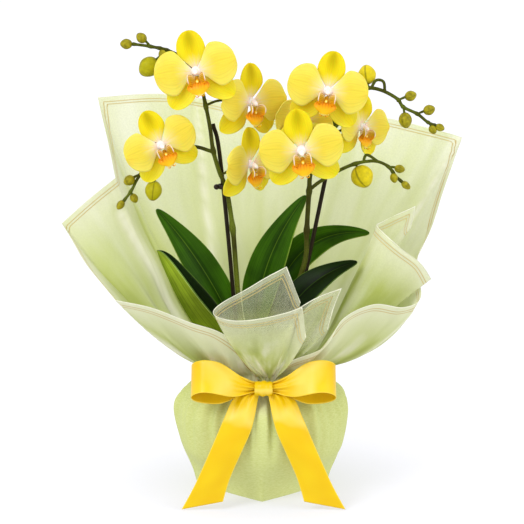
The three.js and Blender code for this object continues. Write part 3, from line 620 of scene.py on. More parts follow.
stem_finish = spike_stem()
big_bud_finish = {"spike_left": bud_skin("bud_skin_green", "#aea70c", 0.16),
                  "spike_right": bud_skin("bud_skin_yellow", "#dac71a", 0.16)}
small_bud_finish = bud_skin("bud_skin_olive", "#9a9018", 0.42)
for name, spike in SPIKES.items():
    main = smooth_path(spike["main"], 16 * len(spike["main"]))
    branch = smooth_path(spike["branch"], 80)
    joints, branch_joints = list(spike["joints"]), []
    for start, *_ in spike["buds"]:
        on_main, on_branch = [min((point - Vector(start)).length for point in path)
                              for path in (main, branch)]
        (joints if on_main < on_branch else branch_joints).append(start)
    bm = bmesh.new()
    add_tube(bm, main, joint_swelling(joints, main, lambda share: mix(*STEM_THICK, share)), 14)
    add_tube(bm, branch, joint_swelling(branch_joints, branch, lambda share: mix(*BRANCH_THICK, share)), 12)
    for bloom_name, start in spike["stalks"].items():
        bloom = BLOOMS[bloom_name]
        seat = HUB_DEEP * bloom["size"] + 0.35
        stalk = smooth_path([*start, behind(bloom, seat + 8), behind(bloom, seat - 1.5)], 26)
        add_tube(bm, stalk, lambda share: 1.3 + 0.5 * smooth((share - 0.7) / 0.3), 10)
    for curl in spike["curls"]:
        add_tube(bm, smooth_path(curl, 30), lambda share: CURL_THICK, 10)
    for joint in joints:
        at = min(range(1, len(main) - 1), key=lambda i: (main[i] - Vector(joint)).length)
        size = mix(*STEM_THICK, at / len(main))
        way = (main[at + 1] - main[at - 1]).normalized()
        front = Vector((0.3, -1, 0))
        front = (front - way * front.dot(way)).normalized()
        line = [main[at] + (front * out + way * on) * size for out, on in ((0.5, -1), (0.85, 0.4), (1, 1.9))]
        bract = smooth_path(line, 10)
        add_tube(bm, bract, lambda share: size * (0.5 * cos(1.4 * share) + 0.05), 8)
    for start, middle, radius, _ in spike["buds"]:
        start, middle = Vector(start), Vector(middle)
        stalk = smooth_path([start, (start + middle) / 2 + Vector((0, 0, 0.6)), middle], 12)
        add_tube(bm, stalk, lambda share: 1.1 + 0.5 * smooth(share) * min(1, radius / 6), 10)
    make_piece(name + "_stem", bm, [stem_finish], [name], outward=True)
    bm = bmesh.new()
    for start, middle, radius, stretched in sorted(spike["buds"], key=lambda bud: -bud[2]):
        add_bud(bm, Vector(middle), Vector(middle) - Vector(start), radius, stretched, radius < BIG_BUD)
    make_piece(name + "_buds", bm, [big_bud_finish[name], small_bud_finish], [name], outward=True)

# Blooms
# Eight open flowers. Each has two broad petals in front, a top and two side sepals behind them,
# a white column, and a small orange lip whose side lobes stand up round the column.
# reach, half and turn are a petal's length, half width and angle from straight up. The others
# bend it: fore and rise to the front, fall at the tip, cup at its sides. base narrows its foot.
PETAL = dict(reach=42, half=22.5, turn=84, fore=2.2, rise=3.2, fall=4, cup=-3, base=0.42)
TOP_SEPAL = dict(reach=41, half=14.5, turn=0, fore=-1.4, rise=2, fall=3.5, cup=2, base=0.55)
SIDE_SEPAL = dict(reach=45, half=14, turn=134, fore=-2, rise=1.5, fall=6, cup=1.5, base=0.5)
PETAL_THICK = 0.8
LIP_FRONT = 5.2


def tepal_point(reach, half, turn, fore, rise, fall, cup, base, left, ruffle, u, v):
    """A point of a petal or sepal, x right, y up and z to the front of its bloom."""
    across = 2 * u - 1
    t, a = lens(u, v)
    along = 3 + (reach - 3) * t
    side = a * half * mix(base, 1, smooth(t / 0.5))
    w = a / max(0.3, sin(pi * v))
    depth = fore + rise * sin(0.9 * pi * t) - fall * t * t + cup * w * w * t
    depth += 0.55 * sin(ruffle + 7 * t + 2 * across) * w * w * t
    depth -= 0.5 * exp(-(across / 0.09) ** 2) * sin(pi * t)
    angle = radians(turn)
    x = sin(angle) * along + cos(angle) * side
    y = cos(angle) * along - sin(angle) * side
    return -x if left else x, y, depth


def column_point(x, y, z):
    """A point of the column, hooded at its end."""
    hood = 1 - 0.25 * smooth(-z)
    return 3 * hood * x, 3.2 * hood * y - 1.1 * z - 0.5, 7 + 5.7 * z


def side_lobe_point(side, u, v):
    """A point of the lip's left or right lobe, which stands up round the column."""
    t, a = lens(u, v)
    return side * (2 + 6.6 * sin(radians(84 * t))), -9 - 6.8 * a + 1.6 * t, LIP_FRONT + 3.6 + 8.4 * t * t


def mid_lobe_point(u, v):
    """A point of the lip's broad front lobe."""
    t, a = lens(u, v)
    wide = mix(3.6, 11.5, smooth((t - 0.15) / 0.33)) * mix(1, 0.6, smooth((t - 0.55) / 0.45))
    ruffle = 0.8 * sin(9 * t + 5 * a) * abs(a)
    rise = 2 + 6 * sin(0.75 * pi * max(0, t - 0.22) / 0.78) - 2.5 * a * a + ruffle
    return a * wide, -5 - 20 * t, LIP_FRONT + rise


def layer_value(finish, layer):
    """What is written for a point in one of the piece's layers."""
    return add_node(finish.node_tree, "Attribute", attribute_name=layer).outputs["Fac"]


def petal_flesh(name, body, pale, smudge, blush_reach):
    """Petal: satin flesh with faint veins that fan out from its foot, paler towards the rim, and
    streaked white and pink round the flower's heart. heart_mm is the distance from the heart.
    smudge is how strong the olive spot near the tip is."""
    finish = new_finish(name, Roughness=0.55, IOR=1.42, Specular_IOR_Level=0.08,
                        Subsurface_Weight=0.25, Subsurface_Scale=0.003)
    uv = spot(finish, "UV")
    drift = calc("MULTIPLY", remap(off(part(uv, "X"), 0.5), 0.12, 0.5),
                 mottle(spot(finish, "Object"), 60, 3))
    veins = mottle(stretch(uv, (26, 1.6, 1)), 1, 2)
    tone = shaded(blend(drift, body, pale), veins, 0.35, 0.65, 0.91, 1.03)
    near = add_node(uv, "VectorMath", {0: uv, 1: (0.5, 0.72, 0)}, operation="DISTANCE").outputs["Value"]
    tone = blend(remap(near, 0.04, 0.36, smudge, 0, soft=True), tone, "#a99a02")
    near = calc("ADD", layer_value(finish, "heart_mm"), calc("MULTIPLY_ADD", veins, 16, -8))
    tone = blend(remap(near, 2, blush_reach * 2, 0.55, 0, soft=True), tone, "#fbf3cf")
    tone = blend(remap(near, 2, blush_reach, 1, 0, soft=True), tone, "#f2dbd6")
    return surface(finish, tone, veins, 0.22, 0.0007)


def column_flesh():
    """Column: smooth waxy white, flushed pink at its sides and foot."""
    finish = new_finish("column_flesh", Roughness=0.35, IOR=1.42, Subsurface_Weight=0.2,
                        Subsurface_Scale=0.002)
    along = part(spot(finish, "UV"), "Y")
    return surface(finish, ramp(along, (0.0, "#efc9cf"), (1.0, "#fff8f4"), (0.45, "#f9e3e4")))


def bands(place, way, scale, **more):
    """Stripes beside one another along the X or the Y way of the place."""
    sockets = {"Vector": place, "Scale": scale, **more}
    return add_node(place, "TexWave", sockets, bands_direction=way).outputs["Fac"]


def lip_flesh(name, way, stops, striped_to, rim):
    """Lip: waxy and shining, changing colour one way of its UV, striped red-brown up to this share
    of its length, and with a rim of another colour."""
    finish = new_finish(name, Roughness=0.35, IOR=1.42, Specular_IOR_Level=0.2,
                        Subsurface_Weight=0.1, Subsurface_Scale=0.001)
    uv = spot(finish, "UV")
    along = part(uv, "Y")
    tone = ramp(part(uv, way), *stops)
    stripes = bands(stretch(uv, (1, 0.2, 1)), "X", 2.2, Distortion=4, Detail=2)
    striped = calc("MULTIPLY", ramp(stripes, (0.62, 0.0), (0.95, 1.0)),
                   remap(along, striped_to - 0.3, striped_to, 0.8, 0))
    tone = blend(striped, tone, "#b23c0a")
    return surface(finish, blend(remap(along, 0.8, 0.92), tone, rim))


petal_finish = petal_flesh("petal_flesh", "#e9d447", "#efe670", 0.0, 11)
side_sepal_finish = petal_flesh("side_sepal_flesh", "#ecda24", "#f2e852", 0.0, 8)
top_sepal_finish = petal_flesh("top_sepal_flesh", "#e6d214", "#e9da2c", 0.75, 9)
column_finish = column_flesh()
side_lobe_finish = lip_flesh("lip_side_flesh", "X", [
    (0.0, "#eed9b4"), (1.0, "#ef9a0a"), (0.18, "#e0c05a"), (0.4, "#c9a81c"), (0.75, "#dba010"),
], 0.78, "#f4dfd2")
mid_lobe_finish = lip_flesh("lip_front_flesh", "Y", [
    (0.0, "#c2a01a"), (1.0, "#fbf0b4"), (0.3, "#cf960e"), (0.46, "#ee970a"), (0.62, "#f5b412"),
    (0.78, "#f6cc20"),
], 0.62, "#f8e88a")

random.seed(5)
for name, bloom in BLOOMS.items():
    facing = facing_of(bloom)
    yaw, roll = radians(bloom["yaw"]), radians(bloom["roll"])
    level = Vector((cos(yaw), sin(yaw), 0))
    upright = facing.cross(level)
    right = level * cos(roll) + upright * sin(roll)
    up = upright * cos(roll) - level * sin(roll)
    middle = Vector(bloom["at"])

    def in_place(x, y, z):
        return middle + (right * x + up * y + facing * z) * bloom["size"]

    bm = bmesh.new()
    heart = bm.verts.layers.float.new("heart_mm")
    petal = dict(PETAL, fall=PETAL["fall"] - bloom["lean"])
    for finish, shape, left in ((0, petal, False), (0, petal, True), (1, SIDE_SEPAL, False),
                                (1, SIDE_SEPAL, True), (2, TOP_SEPAL, False)):
        way = dict(shape, left=left, ruffle=random.uniform(0, 6.3))
        bend_grid(bm, 22, 34, lambda u, v: in_place(*tepal_point(**way, u=u, v=v)), finish)
    for vert in bm.verts:
        vert[heart] = (vert.co - middle * MM).length / MM
    make_piece(f"bloom_{name}_petals", bm, [petal_finish, side_sepal_finish, top_sepal_finish],
               [f"bloom_{name}_tepals"], PETAL_THICK)

    bm = bmesh.new()
    bend_ball(bm, 20, 14, lambda x, y, z: in_place(5 * x, 5 * y, HUB_DEEP * z))
    bend_ball(bm, 24, 18, lambda x, y, z: in_place(*column_point(x, y, z)))
    make_piece(f"bloom_{name}_column", bm, [column_finish], outward=True)

    bm = bmesh.new()
    for side in (-1, 1):
        bend_grid(bm, 12, 16, lambda u, v: in_place(*side_lobe_point(side, u, v)))
    bend_grid(bm, 14, 20, lambda u, v: in_place(*mid_lobe_point(u, v)), 1)
    make_piece(f"bloom_{name}_lip_lobes", bm, [side_lobe_finish, mid_lobe_finish],
               [f"bloom_{name}_lip"], PETAL_THICK)

    bm = bmesh.new()
    bend_ball(bm, 16, 12, lambda x, y, z: in_place(1.9 * x, 2.1 * y - 10.4, LIP_FRONT + 4.6 + 2.2 * z))
    for side in (-1, 1):
        line = ((1.2, -24.4, 6), (2.4, -25.6, 7.4), (4.2, -24.8, 9.2), (4.8, -22.6, 9.6))
        tendril = smooth_path([in_place(side * x, y, LIP_FRONT + z) for x, y, z in line], 14)
        add_tube(bm, tendril, lambda share: mix(0.6, 0.25, share), 8)
    make_piece(f"bloom_{name}_lip_crest", bm, [mid_lobe_finish], outward=True)

# Gift wrap
# One big sheet of crisp see-through fleece under the pot, up its sides, tied at the neck and
# open like a flower above it, and three smaller sheets tucked in at the neck. A pale folded hem
# and two gold threads run along every edge.
# Each row of the big sheet's hem, from the front round to the right: angle at the neck, angle,
# reach and height of the hem, and 1 where the hem turns a corner.
MAIN_HEM = [
    (4, 5, 62, 131, 0), (14, 21, 80, 146, 0), (24, 36, 104, 163, 0), (34, 42, 116, 190, 0),
    (46, 55, 132, 202, 0), (60, 68, 149, 195, 0), (76, 85, 160, 197, 0), (92, 100, 160, 226, 0),
    (106, 112, 189, 253, 0), (124, 119, 240, 340, 1), (138, 128, 219, 348, 0), (152, 140, 195, 357, 0),
    (166, 156, 176, 360, 0), (180, 178, 166, 356, 0), (194, 197, 172, 372, 0), (206, 215, 189, 381, 0),
    (220, 233, 216, 380, 1), (236, 236, 194, 338, 0), (248, 242, 172, 302, 1), (260, 251, 188, 283, 0),
    (272, 260, 207, 262, 1), (288, 275, 176, 232, 0), (304, 293, 155, 203, 1), (316, 307, 134, 200, 0),
    (328, 321, 111, 187, 0), (338, 334, 94, 177, 0), (348, 346, 76, 158, 0), (356, 357, 63, 133, 0),
]
# The bag under the neck, from the middle of its foot up: radius and height.
BAG = [(0, 0), (58, 0), (66, 0.3), (71, 17), (83, 45), (88, 72), (84, 92), (68, 106), (57, 112)]
NECK_Z = 119
NECK_R = 57
NECK_HALF = 7
PLEAT = 2
BAG_SHARE = 8 / 14
NECK_SHARE = 1 / 6
WRAP_THICK = 0.35
HEM_STEPS = 14
# Creases pressed into the big sheet: u and v where each starts and ends, and how wide it is.
CREASES = [((0.512, 1), (0.53, 0.74), 5), ((0.652, 0.96), (0.632, 0.68), 9),
           ((0.323, 1), (0.338, 0.78), 4), ((0.775, 0.95), (0.8, 0.7), 5), ((0.2, 0.97), (0.19, 0.72), 6)]
CREASE_HIGH = 2
# The smaller sheets: angle at the neck, and x, y, z of the hem, and 1 at a corner.
SIDE_HEM = [
    (62, 168, -6, 213, 0), (66, 157, -19, 232, 0), (70, 139, -27, 247, 0), (74, 126, -29, 258, 0),
    (79, 116, -20, 266, 0), (84, 114, -6, 268, 0), (89, 121, 6, 269, 0), (94, 136, 14, 275, 0),
    (100, 154, 22, 282, 1), (105, 150, 29, 258, 0),
]
FRONT_HEM = [
    (9, 42, -104, 176, 0), (9, 38, -110, 207, 1), (8, 21, -120, 203, 0), (5, -3, -124, 198.5, 0),
    (2, -25.5, -120, 196, 0), (0, -42, -110, 197, 0), (-1.5, -46.5, -100, 200.5, 0),
    (-1, -38.5, -92, 207, 0), (2, -16.4, -87, 218.5, 0), (5, 3, -85, 230, 0), (8, 23.5, -84, 241, 1),
    (9, 37, -86, 206, 0),
]
CORNER_HEM = [
    (12, 32, -80, 197, 0), (13, 51, -81, 209, 0), (15, 76.6, -80, 219, 1), (18, 70, -74, 200, 0),
    (20, 64, -70, 176, 0),
]


def around(degrees, reach, height):
    """A point at an angle from the front round to the right, this far from the axis."""
    turn = radians(degrees)
    return Vector((reach * sin(turn), -reach * cos(turn), height))


def hem_point(hem, i, f, closed):
    """A point of the hem, f of the way from place i to the next: smooth except at corners."""
    count = len(hem)

    def row(k):
        return hem[k % count] if closed else hem[min(count - 1, max(0, k))]

    def at(k):
        return around(*row(k)[1:4]) if closed else Vector(row(k)[1:4])

    start, end = at(i), at(i + 1)
    leave = end - start if row(i)[4] else (end - at(i - 1)) * 0.5
    arrive = end - start if row(i + 1)[4] else (at(i + 2) - start) * 0.5
    rest = 1 - f
    blend = f * f * (3 - 2 * f)
    return start * (1 - blend) + end * blend + leave * f * rest * rest - arrive * f * f * rest


def flare(start, end, t, out, up):
    """A line of the sheet from the neck to its hem: out first, and then up."""
    knee = Vector((mix(start.x, end.x, out), mix(start.y, end.y, out), mix(start.z, end.z, up)))
    s = 1 - t
    return start * s * s + knee * 2 * s * t + end * t * t


def gathers(degrees):
    """How far the tied cloth bulges at an angle, from -1 to 1: folds of uneven width."""
    turn = radians(degrees)
    return (0.42 * cos(17 * turn + 0.8) + 0.33 * cos(26 * turn + 2.1)
            + 0.25 * cos(41 * turn + 4.0))


def crumple(point, grain, height):
    """A soft unevenness of the cloth, grain millimetres wide and up to height deep."""
    return height * noise.noise(point / grain)


def bag_point(degrees, share):
    """A point of the bag, share of the way up from the middle of its foot, square at the foot."""
    rows = len(BAG) - 1
    k = min(rows - 1, int(share * rows))
    near = [Vector(BAG[min(rows, max(0, k + step))]) for step in (-1, 0, 1, 2)]
    r, z = curve(*near, share * rows - k)
    z = max(0, z)
    turn = radians(degrees)
    square = 1 / (abs(cos(turn)) + abs(sin(turn)))
    r *= mix(1, mix(square, 1, 0.15), smooth(1 - z / 46))
    return r, z


def main_point(u, v):
    """A point of the big sheet, u round it from the front and v from under the pot to the hem."""
    places = len(MAIN_HEM)
    turn = (u % 1) * places
    i = int(turn)
    f = turn - i
    start_angle, end_angle = MAIN_HEM[i][0], MAIN_HEM[(i + 1) % places][0]
    if end_angle < start_angle:
        end_angle += 360
    degrees = mix(start_angle, end_angle, f)
    pleat = PLEAT * (0.5 * cos(2 * pi * f) + gathers(degrees))
    lift = WRAP_THICK / 2
    if v < BAG_SHARE:
        r, z = bag_point(degrees, v / BAG_SHARE)
        fold = pleat * smooth((z - 56) / 52) + front_pleat(degrees, z)
        fold += 2.4 * (gathers(degrees) - 0.8) * smooth((z - 36) / 40)
        point = around(degrees, r + fold, z + lift)
        uneven = crumple(point, 34, 2.4) * smooth(z / 30) * smooth((112 - z) / 12)
        return point + around(degrees, uneven, 0)
    share = (v - BAG_SHARE) / (1 - BAG_SHARE)
    low = around(degrees, NECK_R + pleat, NECK_Z - NECK_HALF + lift)
    if share < NECK_SHARE:
        return low + Vector((0, 0, 2 * NECK_HALF * share / NECK_SHARE))
    low.z += 2 * NECK_HALF
    sag = exp(-((degrees - 85) / 28) ** 2)
    t = (share - NECK_SHARE) / (1 - NECK_SHARE)
    point = flare(low, hem_point(MAIN_HEM, i, f, True), t, mix(0.36, 0.66, sag), mix(0.13, 0, sag))
    fold = 20 * gathers(degrees) * t * (1 - t) ** 2 + crumple(point, 60, 5) * smooth(t / 0.3) * (1 - 0.6 * t)
    return point + around(degrees, fold, 0)


def front_pleat(degrees, z):
    """The flat pleat under the knot, with a groove at each side."""
    off = (degrees - 1 + 180) % 360 - 180
    ridge = 3.4 * exp(-(off / 3.2) ** 4) - 4 * exp(-((abs(off) - 5.6) / 1.9) ** 2)
    return ridge * smooth((z - 30) / 70)


def sheet_point(hem, foot_r, foot_z, out, up, pleats, u, v):
    """A point of a smaller sheet, u along its hem and v from its tucked foot to the hem."""
    spans = len(hem) - 1
    turn = min(spans - 1e-6, u * spans)
    i = int(turn)
    f = turn - i
    degrees = mix(hem[i][0], hem[i + 1][0], f)
    start = around(degrees, foot_r(u), foot_z)
    tuck = 0.12
    if v < tuck:
        return start - Vector((0, 0, (1 - v / tuck) * 12))
    t = (v - tuck) / (1 - tuck)
    point = flare(start, hem_point(hem, i, f, False), t, out, up)
    ridge = 1 - 2 * abs(sin(pi * pleats * (u + 0.04 * sin(9 * u)))) ** 0.7
    fold = 11 * ridge * t * (1 - t) ** 2 + crumple(point, 40, 2.5) * t
    return point + around(degrees, fold, 0)


def hem_line(hem, closed):
    """Points along a sheet's hem."""
    spans = len(hem) if closed else len(hem) - 1
    line = [hem_point(hem, i, step / HEM_STEPS, closed) for i in range(spans) for step in range(HEM_STEPS)]
    return line if closed else [*line, Vector(hem[-1][1:4])]


def mark_hem(bm, line):
    """Writes each vertex's distance from the hem, in millimetres, to a layer."""
    line = np.array(line)
    layer = bm.verts.layers.float.new("hem_mm")
    for vert in bm.verts:
        vert[layer] = np.sqrt(((line - np.array(vert.co) / MM) ** 2).sum(axis=1).min())


def press_creases(bm, creases, place):
    """Raises a soft ridge along lines on the sheet place(u, v), each with its ends and its width,
    and writes how strong the crease is at each vertex, from 0 to 1, to a layer. Each crease fades
    out towards its second end."""
    steps = 30
    spots = np.array([vert.co for vert in bm.verts]) / MM
    strong = np.zeros(len(spots))
    for (u1, v1), (u2, v2), wide in creases:
        line = np.array([place(mix(u1, u2, i / steps), mix(v1, v2, i / steps)) for i in range(steps + 1)])
        away = np.linalg.norm(spots[:, None, :] - line[None, :, :], axis=2)
        fade = np.clip(2.6 * (1 - away.argmin(axis=1) / steps), 0, 1)
        strong = np.maximum(strong, fade * np.exp(-(away.min(axis=1) / wide) ** 2))
    layer = bm.verts.layers.float.new("crease")
    bm.normal_update()
    for vert, share in zip(bm.verts, strong):
        vert[layer] = share
        vert.co += vert.normal * CREASE_HIGH * MM * share


def greatest(value, *others):
    """The greatest of the values."""
    for other in others:
        value = calc("MAXIMUM", value, other)
    return value


def fleece(name, streaks, gaps, heights, grain):
    """See-through fleece: pale lime, lighter in streaks that run up the sheet, which are partly
    painted highlights on its folds, with a fine mesh. It is denser in the folded hem, beside which
    two gold threads run, and denser where it is creased, with a painted highlight there. It has
    painted shade lower in the flare and painted highlights and shade in the gathers at the neck.
    gaps is the share of it that is open below and above the two heights. The bag below the neck is
    doubled, slubbed and hides the pot."""
    finish = new_finish(name, Roughness=0.65, IOR=1.45, Specular_IOR_Level=0.15)
    place = spot(finish, "Object")
    height = part(place, "Z")
    hem = layer_value(finish, "hem_mm")
    # Crease strength: it makes the cloth denser and, in the colour, whiter as a painted highlight
    pressed = calc("MULTIPLY", layer_value(finish, "crease"), 0.9)
    edge = remap(hem, 0.7, 1.3, 1, 0)
    gold = calc("ADD", *[remap(off(hem, at), 0.2, 0.6, 0.7, 0) for at in (5.6, 8.4)])
    bag = remap(height, 0.108, 0.114, 1, 0)
    streak = mottle(stretch(spot(finish, "UV"), (streaks, 2.2, 1)), 1, 3)
    # Where the neck gathers the cloth its folds get a painted highlight on top and painted shade between them
    gathered = calc("SUBTRACT", remap(height, 0.14, 0.21, 1, 0), bag, use_clamp=True)
    ridge_highlight = calc("MULTIPLY", remap(streak, 0.5, 0.66, 0, 0.8), gathered)
    groove_shade = calc("MULTIPLY", remap(streak, 0.34, 0.5, 0.8, 0), gathered)
    # The paler streaks up the sheet are partly the cloth's uneven density and partly painted highlights on
    # its long folds
    tone = ramp(streak, (0.36, "#d6df88"), (0.66, "#f2f5da"))
    # Deeper lime lower in the flare: painted shade inside the cone, and partly its doubled layers
    tone = blend(remap(height, 0.18, 0.31, 0.55, 0), tone, "#c8d278")
    # The bag's slubs are drawn 0.8 mm thick, twice the real ones, so that they show
    slub = mottle(stretch(place, (1, 1, 4)), 330, 3)
    tone = blend(bag, tone, ramp(slub, (0.32, "#c6ce7f"), (0.7, "#d5db96")))
    # Painted shade in the grooves between the gathers
    tone = blend(groove_shade, tone, "#a9b55c")
    near_hem = calc("MULTIPLY", remap(hem, 5, 48, 1, 0), remap(height, 0.22, 0.34, 0.7, 0.3))
    # Whiter near the hem and at its edge, and painted highlights on the creases and on the gathers' folds
    tone = blend(greatest(near_hem, pressed, ridge_highlight, edge), tone, "#fafaea")
    tone = blend(gold, tone, "#c8a63a")
    # The mesh is drawn 1.6 mm wide, three times the real one, so that it shows
    mesh = mottle(place, 620, 2)
    relief = add_node(mesh, "Bump", {"Height": mesh, "Strength": 0.25, "Distance": 0.0003})
    surface(finish, tone, slub, bag, 0.0003, Normal=relief.outputs["Normal"])
    nodes = finish.node_tree.nodes
    lit = add_node(tone, "BsdfTranslucent", {"Color": tone}).outputs["BSDF"]
    cloth = add_node(bag, "MixShader", {0: remap(bag, 0, 1, 0.3, 0.04),
                                        1: nodes["Principled BSDF"].outputs["BSDF"], 2: lit})
    uneven = remap(mesh, 0.3, 0.7, 1 - grain, 1 + grain)
    open_share = calc("MULTIPLY", remap(height, *heights, *gaps), uneven)
    folded = calc("MULTIPLY", remap(hem, 4.4, 5, 1, 0), 0.2)
    dense = greatest(folded, pressed, edge, gold, bag)
    open_share = calc("MULTIPLY", open_share, remap(dense, 0, 1, 1, 0))
    clear = add_node(place, "BsdfTransparent").outputs["BSDF"]
    cover = add_node(place, "MixShader", {0: open_share, 1: cloth.outputs["Shader"], 2: clear})
    set_sockets(nodes["Material Output"], {"Surface": cover.outputs["Shader"]})
    return finish


big_fleece = fleece("wrap_fleece", 26, (0.1, 0.4), (0.2, 0.34), 0.1)
side_fleece = fleece("wrap_fleece_side", 6, (0.2, 0.5), (0.2, 0.34), 0.1)
front_fleece = fleece("wrap_fleece_single", 9, (0.34, 0.82), (0.155, 0.2), 0.06)
corner_fleece = fleece("wrap_fleece_corner", 9, (0.55, 0.95), (0.15, 0.19), 0.06)

bm = bmesh.new()
bend_grid(bm, HEM_STEPS * len(MAIN_HEM), 110, lambda u, v: main_point(u, 1 - (1 - v) ** 1.35))
mark_hem(bm, hem_line(MAIN_HEM, True))
press_creases(bm, CREASES, main_point)
big_sheet = make_piece("wrap_big_sheet", bm, [big_fleece], ["wrap_main"], WRAP_THICK)
# Each smaller sheet: its hem, the radius and height of its foot, how it flares, its folds, its
# fleece, its creases and the size it was cut to.
SMALL_SHEETS = {
    "wrap_side": (SIDE_HEM, lambda u: NECK_R - 7.5, NECK_Z + 10, 0.34, 0.2, 3, side_fleece, [],
                  (0.12, 0.13)),
    "wrap_front": (FRONT_HEM, lambda u: mix(70.5, 66.5, u), NECK_Z + 7, 0.55, 0.33, 5, front_fleece,
                   [((0.3, 0.13), (0.34, 0.6), 2), ((0.16, 0.13), (0.13, 0.6), 2),
                    ((0.09, 0.13), (0.06, 0.55), 1.6), ((0.4, 0.13), (0.43, 0.6), 1.6)], (0.15, 0.105)),
    "wrap_corner": (CORNER_HEM, lambda u: NECK_R - 5, NECK_Z + 10, 0.4, 0.25, 2, corner_fleece, [],
                    (0.04, 0.085)),
}
for name, (hem, foot_r, foot_z, out, up, pleats, finish, creases, flat) in SMALL_SHEETS.items():
    def small_point(u, v):
        return sheet_point(hem, foot_r, foot_z, out, up, pleats, u, v)

    bm = bmesh.new()
    bend_grid(bm, HEM_STEPS * (len(hem) - 1), 70, small_point)
    mark_hem(bm, hem_line(hem, False))
    press_creases(bm, creases, small_point)
    small_sheet = make_piece(name + "_sheet", bm, [finish], [name], WRAP_THICK)

# Ribbon
# One length of 34 mm double-faced satin: a gathered band round the neck, a knot, two loops that
# stand out to the sides and two tails that run down over the bag to the floor, cut on a slant.
KNOT = Vector((1.5, -82.6, 121))
RIBBON_W = 34
RIBBON_T = 0.5
LOOP_REACH = 66
LOOP_TILT = radians(38)
TAIL_STEPS = 70
# A tail from the knot down, by its two edges: outer x, inner x, y, and outer and inner height.
TAIL = [
    (9, 3, -80, 116, 116), (28, 5, -81, 111, 111), (38, 9, -88, 92, 92), (45, 13, -91, 76, 78),
    (54, 21, -93, 55, 60), (65, 31, -93, 30, 37), (73, 36, -93, 14, 22), (80, 39.5, -93, 1.1, 9),
]


def loop_point(side, u, v):
    """Out from the knot in front, round at the far end and back behind, pinched at the knot."""
    turn = 2 * pi * v
    outward = LOOP_REACH * (1 - cos(turn)) / 2
    opened = sin(turn) * smooth(outward / LOOP_REACH) * 19
    pinch = mix(0.26, 1, smooth(outward / 42))
    width = (u - 0.5) * RIBBON_W * pinch
    crease = 2 * cos(3 * pi * (u - 0.5)) * (1 - smooth(outward / 40))
    crease += 1.2 * cos(8 * pi * (u - 0.5) + side) * (1 - smooth(outward / 34))
    tilt = LOOP_TILT * smooth(outward / 40)
    away = opened + crease
    return Vector((
        KNOT.x + side * (4 + outward),
        KNOT.y - away * cos(tilt) + width * sin(tilt) + 2.8 * v,
        KNOT.z + away * sin(tilt) + width * cos(tilt) + 5.5 * smooth(outward / 60),
    ))


TAIL_OUTER = smooth_path([(row[0], row[2], row[3]) for row in TAIL], TAIL_STEPS)
TAIL_INNER = smooth_path([(row[1], row[2], row[4]) for row in TAIL], TAIL_STEPS)


def tail_point(side, u, v):
    """Between the tail's outer and inner edges, swollen softly in the middle."""
    step = round(v * TAIL_STEPS)
    point = TAIL_INNER[step].lerp(TAIL_OUTER[step], u if side > 0 else 1 - u)
    swell = 3 * sin(pi * u) * smooth(v / 0.2) * smooth((1 - v) / 0.5)
    crease = 1.8 * cos(5 * pi * u) * smooth(v / 0.05) * (1 - smooth((v - 0.1) / 0.26))
    return Vector((KNOT.x + side * point.x, point.y - swell - crease, point.z))


def band_point(u, v):
    """The band round the neck, folded lengthwise in three, which comes forward to the knot."""
    degrees = 360 * v
    off = (degrees - 4 + 180) % 360 - 180
    layer = min(2, int(3 * u))
    within = 3 * u - layer
    up = within if layer % 2 == 0 else 1 - within
    r = NECK_R + PLEAT + 1.3 + 0.7 * (layer + smooth(2 * within - 1)) + 15 * exp(-(off / 22) ** 2)
    crease = 0.5 * cos(9 * up + 1.5 * sin(radians(degrees * 3)))
    return around(degrees, r + crease, NECK_Z + (up - 0.5) * 11)


def knot_point(u, v):
    """A short length wound once round the middle of the bow, its edges turned under, bulging and
    creased."""
    turn = 2 * pi * v
    across = 3.6 * u - 1.8
    under = max(0, abs(across) - 1)
    across = copysign(1 - abs(abs(across) - 1), across)
    bulge = 1 - 0.18 * across ** 2 + 0.06 * cos(8 * across + 2.5 * sin(turn))
    bulge -= 0.12 * min(1, under * 5)
    return KNOT + Vector((8.6 * across, -6.6 * bulge * sin(turn), -1 + 7.3 * bulge * cos(turn)))


def satin(name, low, high, shine):
    """Polyester satin: warm yellow, smooth long floats with a painted sheen in soft bands along them,
    a painted highlight where the ribbon bends forward, a fine cross rib, and a woven edge on both
    sides. The rib is drawn 1.5 mm apart, three times the real one."""
    finish = new_finish(name, Roughness=0.28, IOR=1.5, Specular_IOR_Level=0.25)
    uv = spot(finish, "UV")
    # Soft lighter and darker bands along the ribbon: painted sheen of the satin
    cloud = mottle(stretch(uv, (1, 4, 1)), 1, 1)
    tone = ramp(cloud, (0.36, low), (0.66, high))
    # The painted highlight, a bright band a third of the way along, wanders a little with the cloud
    away = calc("ADD", part(uv, "Y"), calc("MULTIPLY_ADD", cloud, 0.3, -0.43))
    away = calc("ABSOLUTE", away)
    tone = blend(remap(away, 0, 0.09, shine, 0, soft=True), tone, "#fdea84")
    edge = remap(off(part(uv, "X"), 0.5), 0.465, 0.485)
    weave = calc("ADD", bands(uv, "Y", 30), bands(uv, "X", 16))
    return surface(finish, blend(edge, tone, "#fbd83c"), calc("ADD", weave, edge), 0.1, 0.0002)


loop_satin = satin("yellow_satin", "#e9bc04", "#efcb20", 0.36)
# A darker copy of the same satin for the tails, the neck band and the knot: painted shade
shaded_satin = satin("yellow_satin_shaded", "#e6bb00", "#ebc706", 0.4)


def ribbon_piece(name, finish, across, along, place, nodes):
    """A length of ribbon bent to place(u, v), u across it and v along it."""
    bm = bmesh.new()
    bend_grid(bm, across, along, place)
    piece = make_piece(name, bm, [finish], nodes, RIBBON_T)


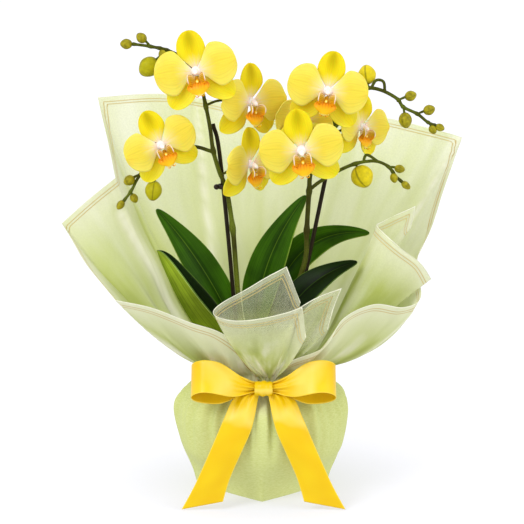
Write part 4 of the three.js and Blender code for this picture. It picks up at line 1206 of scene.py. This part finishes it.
ribbon_piece("ribbon_neck_band", shaded_satin, 30, 220, band_point,
             ["ribbon_band"])
ribbon_piece("ribbon_knot", shaded_satin, 36, 48, knot_point,
             ["ribbon_bow"])
for word, side in (("left", -1), ("right", 1)):
    ribbon_piece(f"ribbon_loop_{word}", loop_satin, 24, 96, lambda u, v: loop_point(side, u, v),
                 ["ribbon_bow"])
    ribbon_piece(f"ribbon_tail_{word}", shaded_satin, 20, TAIL_STEPS, lambda u, v: tail_point(side, u, v),
                 ["ribbon_bow"])

# Floor and light
# A plain white floor that runs out of the picture, lit through from below, and not mirrored in it.
# It glows less under the plant, a painted shadow. A big soft light stands high on the left and a
# weaker one on the right, in a white room.
FLOOR_HALF = 30
ROOM_LIGHT = 0.95
LIGHTS = {
    "soft_light_left": dict(at=(-1.5, -1.7, 2.0), size=1.0, power=30),
    "soft_light_right": dict(at=(1.9, -1.2, 1.1), size=1.2, power=13),
}

white_floor = new_finish("white_floor", Roughness=0.8, Base_Color="#adadb6", Emission_Color="#fbfbff")
floor_place = spot(white_floor, "Object")
# The glow falls off towards the middle: a painted shadow under the plant
near = add_node(floor_place, "TexGradient", {"Vector": floor_place}, gradient_type="SPHERICAL")
glow_with_painted_shadow = remap(near.outputs["Fac"], 0.75, 0.97, 0.62, 0.47, soft=True)
set_sockets(white_floor.node_tree.nodes["Principled BSDF"], {"Emission Strength": glow_with_painted_shadow})
bm = bmesh.new()
bmesh.ops.create_grid(bm, x_segments=1, y_segments=1, size=FLOOR_HALF)
floor_mesh = bpy.data.meshes.new("floor")
bm.to_mesh(floor_mesh)
bm.free()
floor_mesh.materials.append(white_floor)
floor = add_object("floor", floor_mesh)
floor.visible_diffuse = False
floor.visible_glossy = False

for name, light in LIGHTS.items():
    panel = bpy.data.lights.new(name, "AREA")
    panel.size = light["size"]
    panel.energy = light["power"]
    lamp = add_object(name, panel)
    lamp.location = light["at"]
    lamp.rotation_euler = (LOOKS_AT - lamp.location).to_track_quat("-Z", "Y").to_euler()

room = bpy.data.worlds.new("white_room")
room.use_nodes = True
set_sockets(room.node_tree.nodes["Background"], {"Color": "#ffffff", "Strength": ROOM_LIGHT})
bpy.context.scene.world = room
bpy.context.scene.view_settings.view_transform = "Standard"
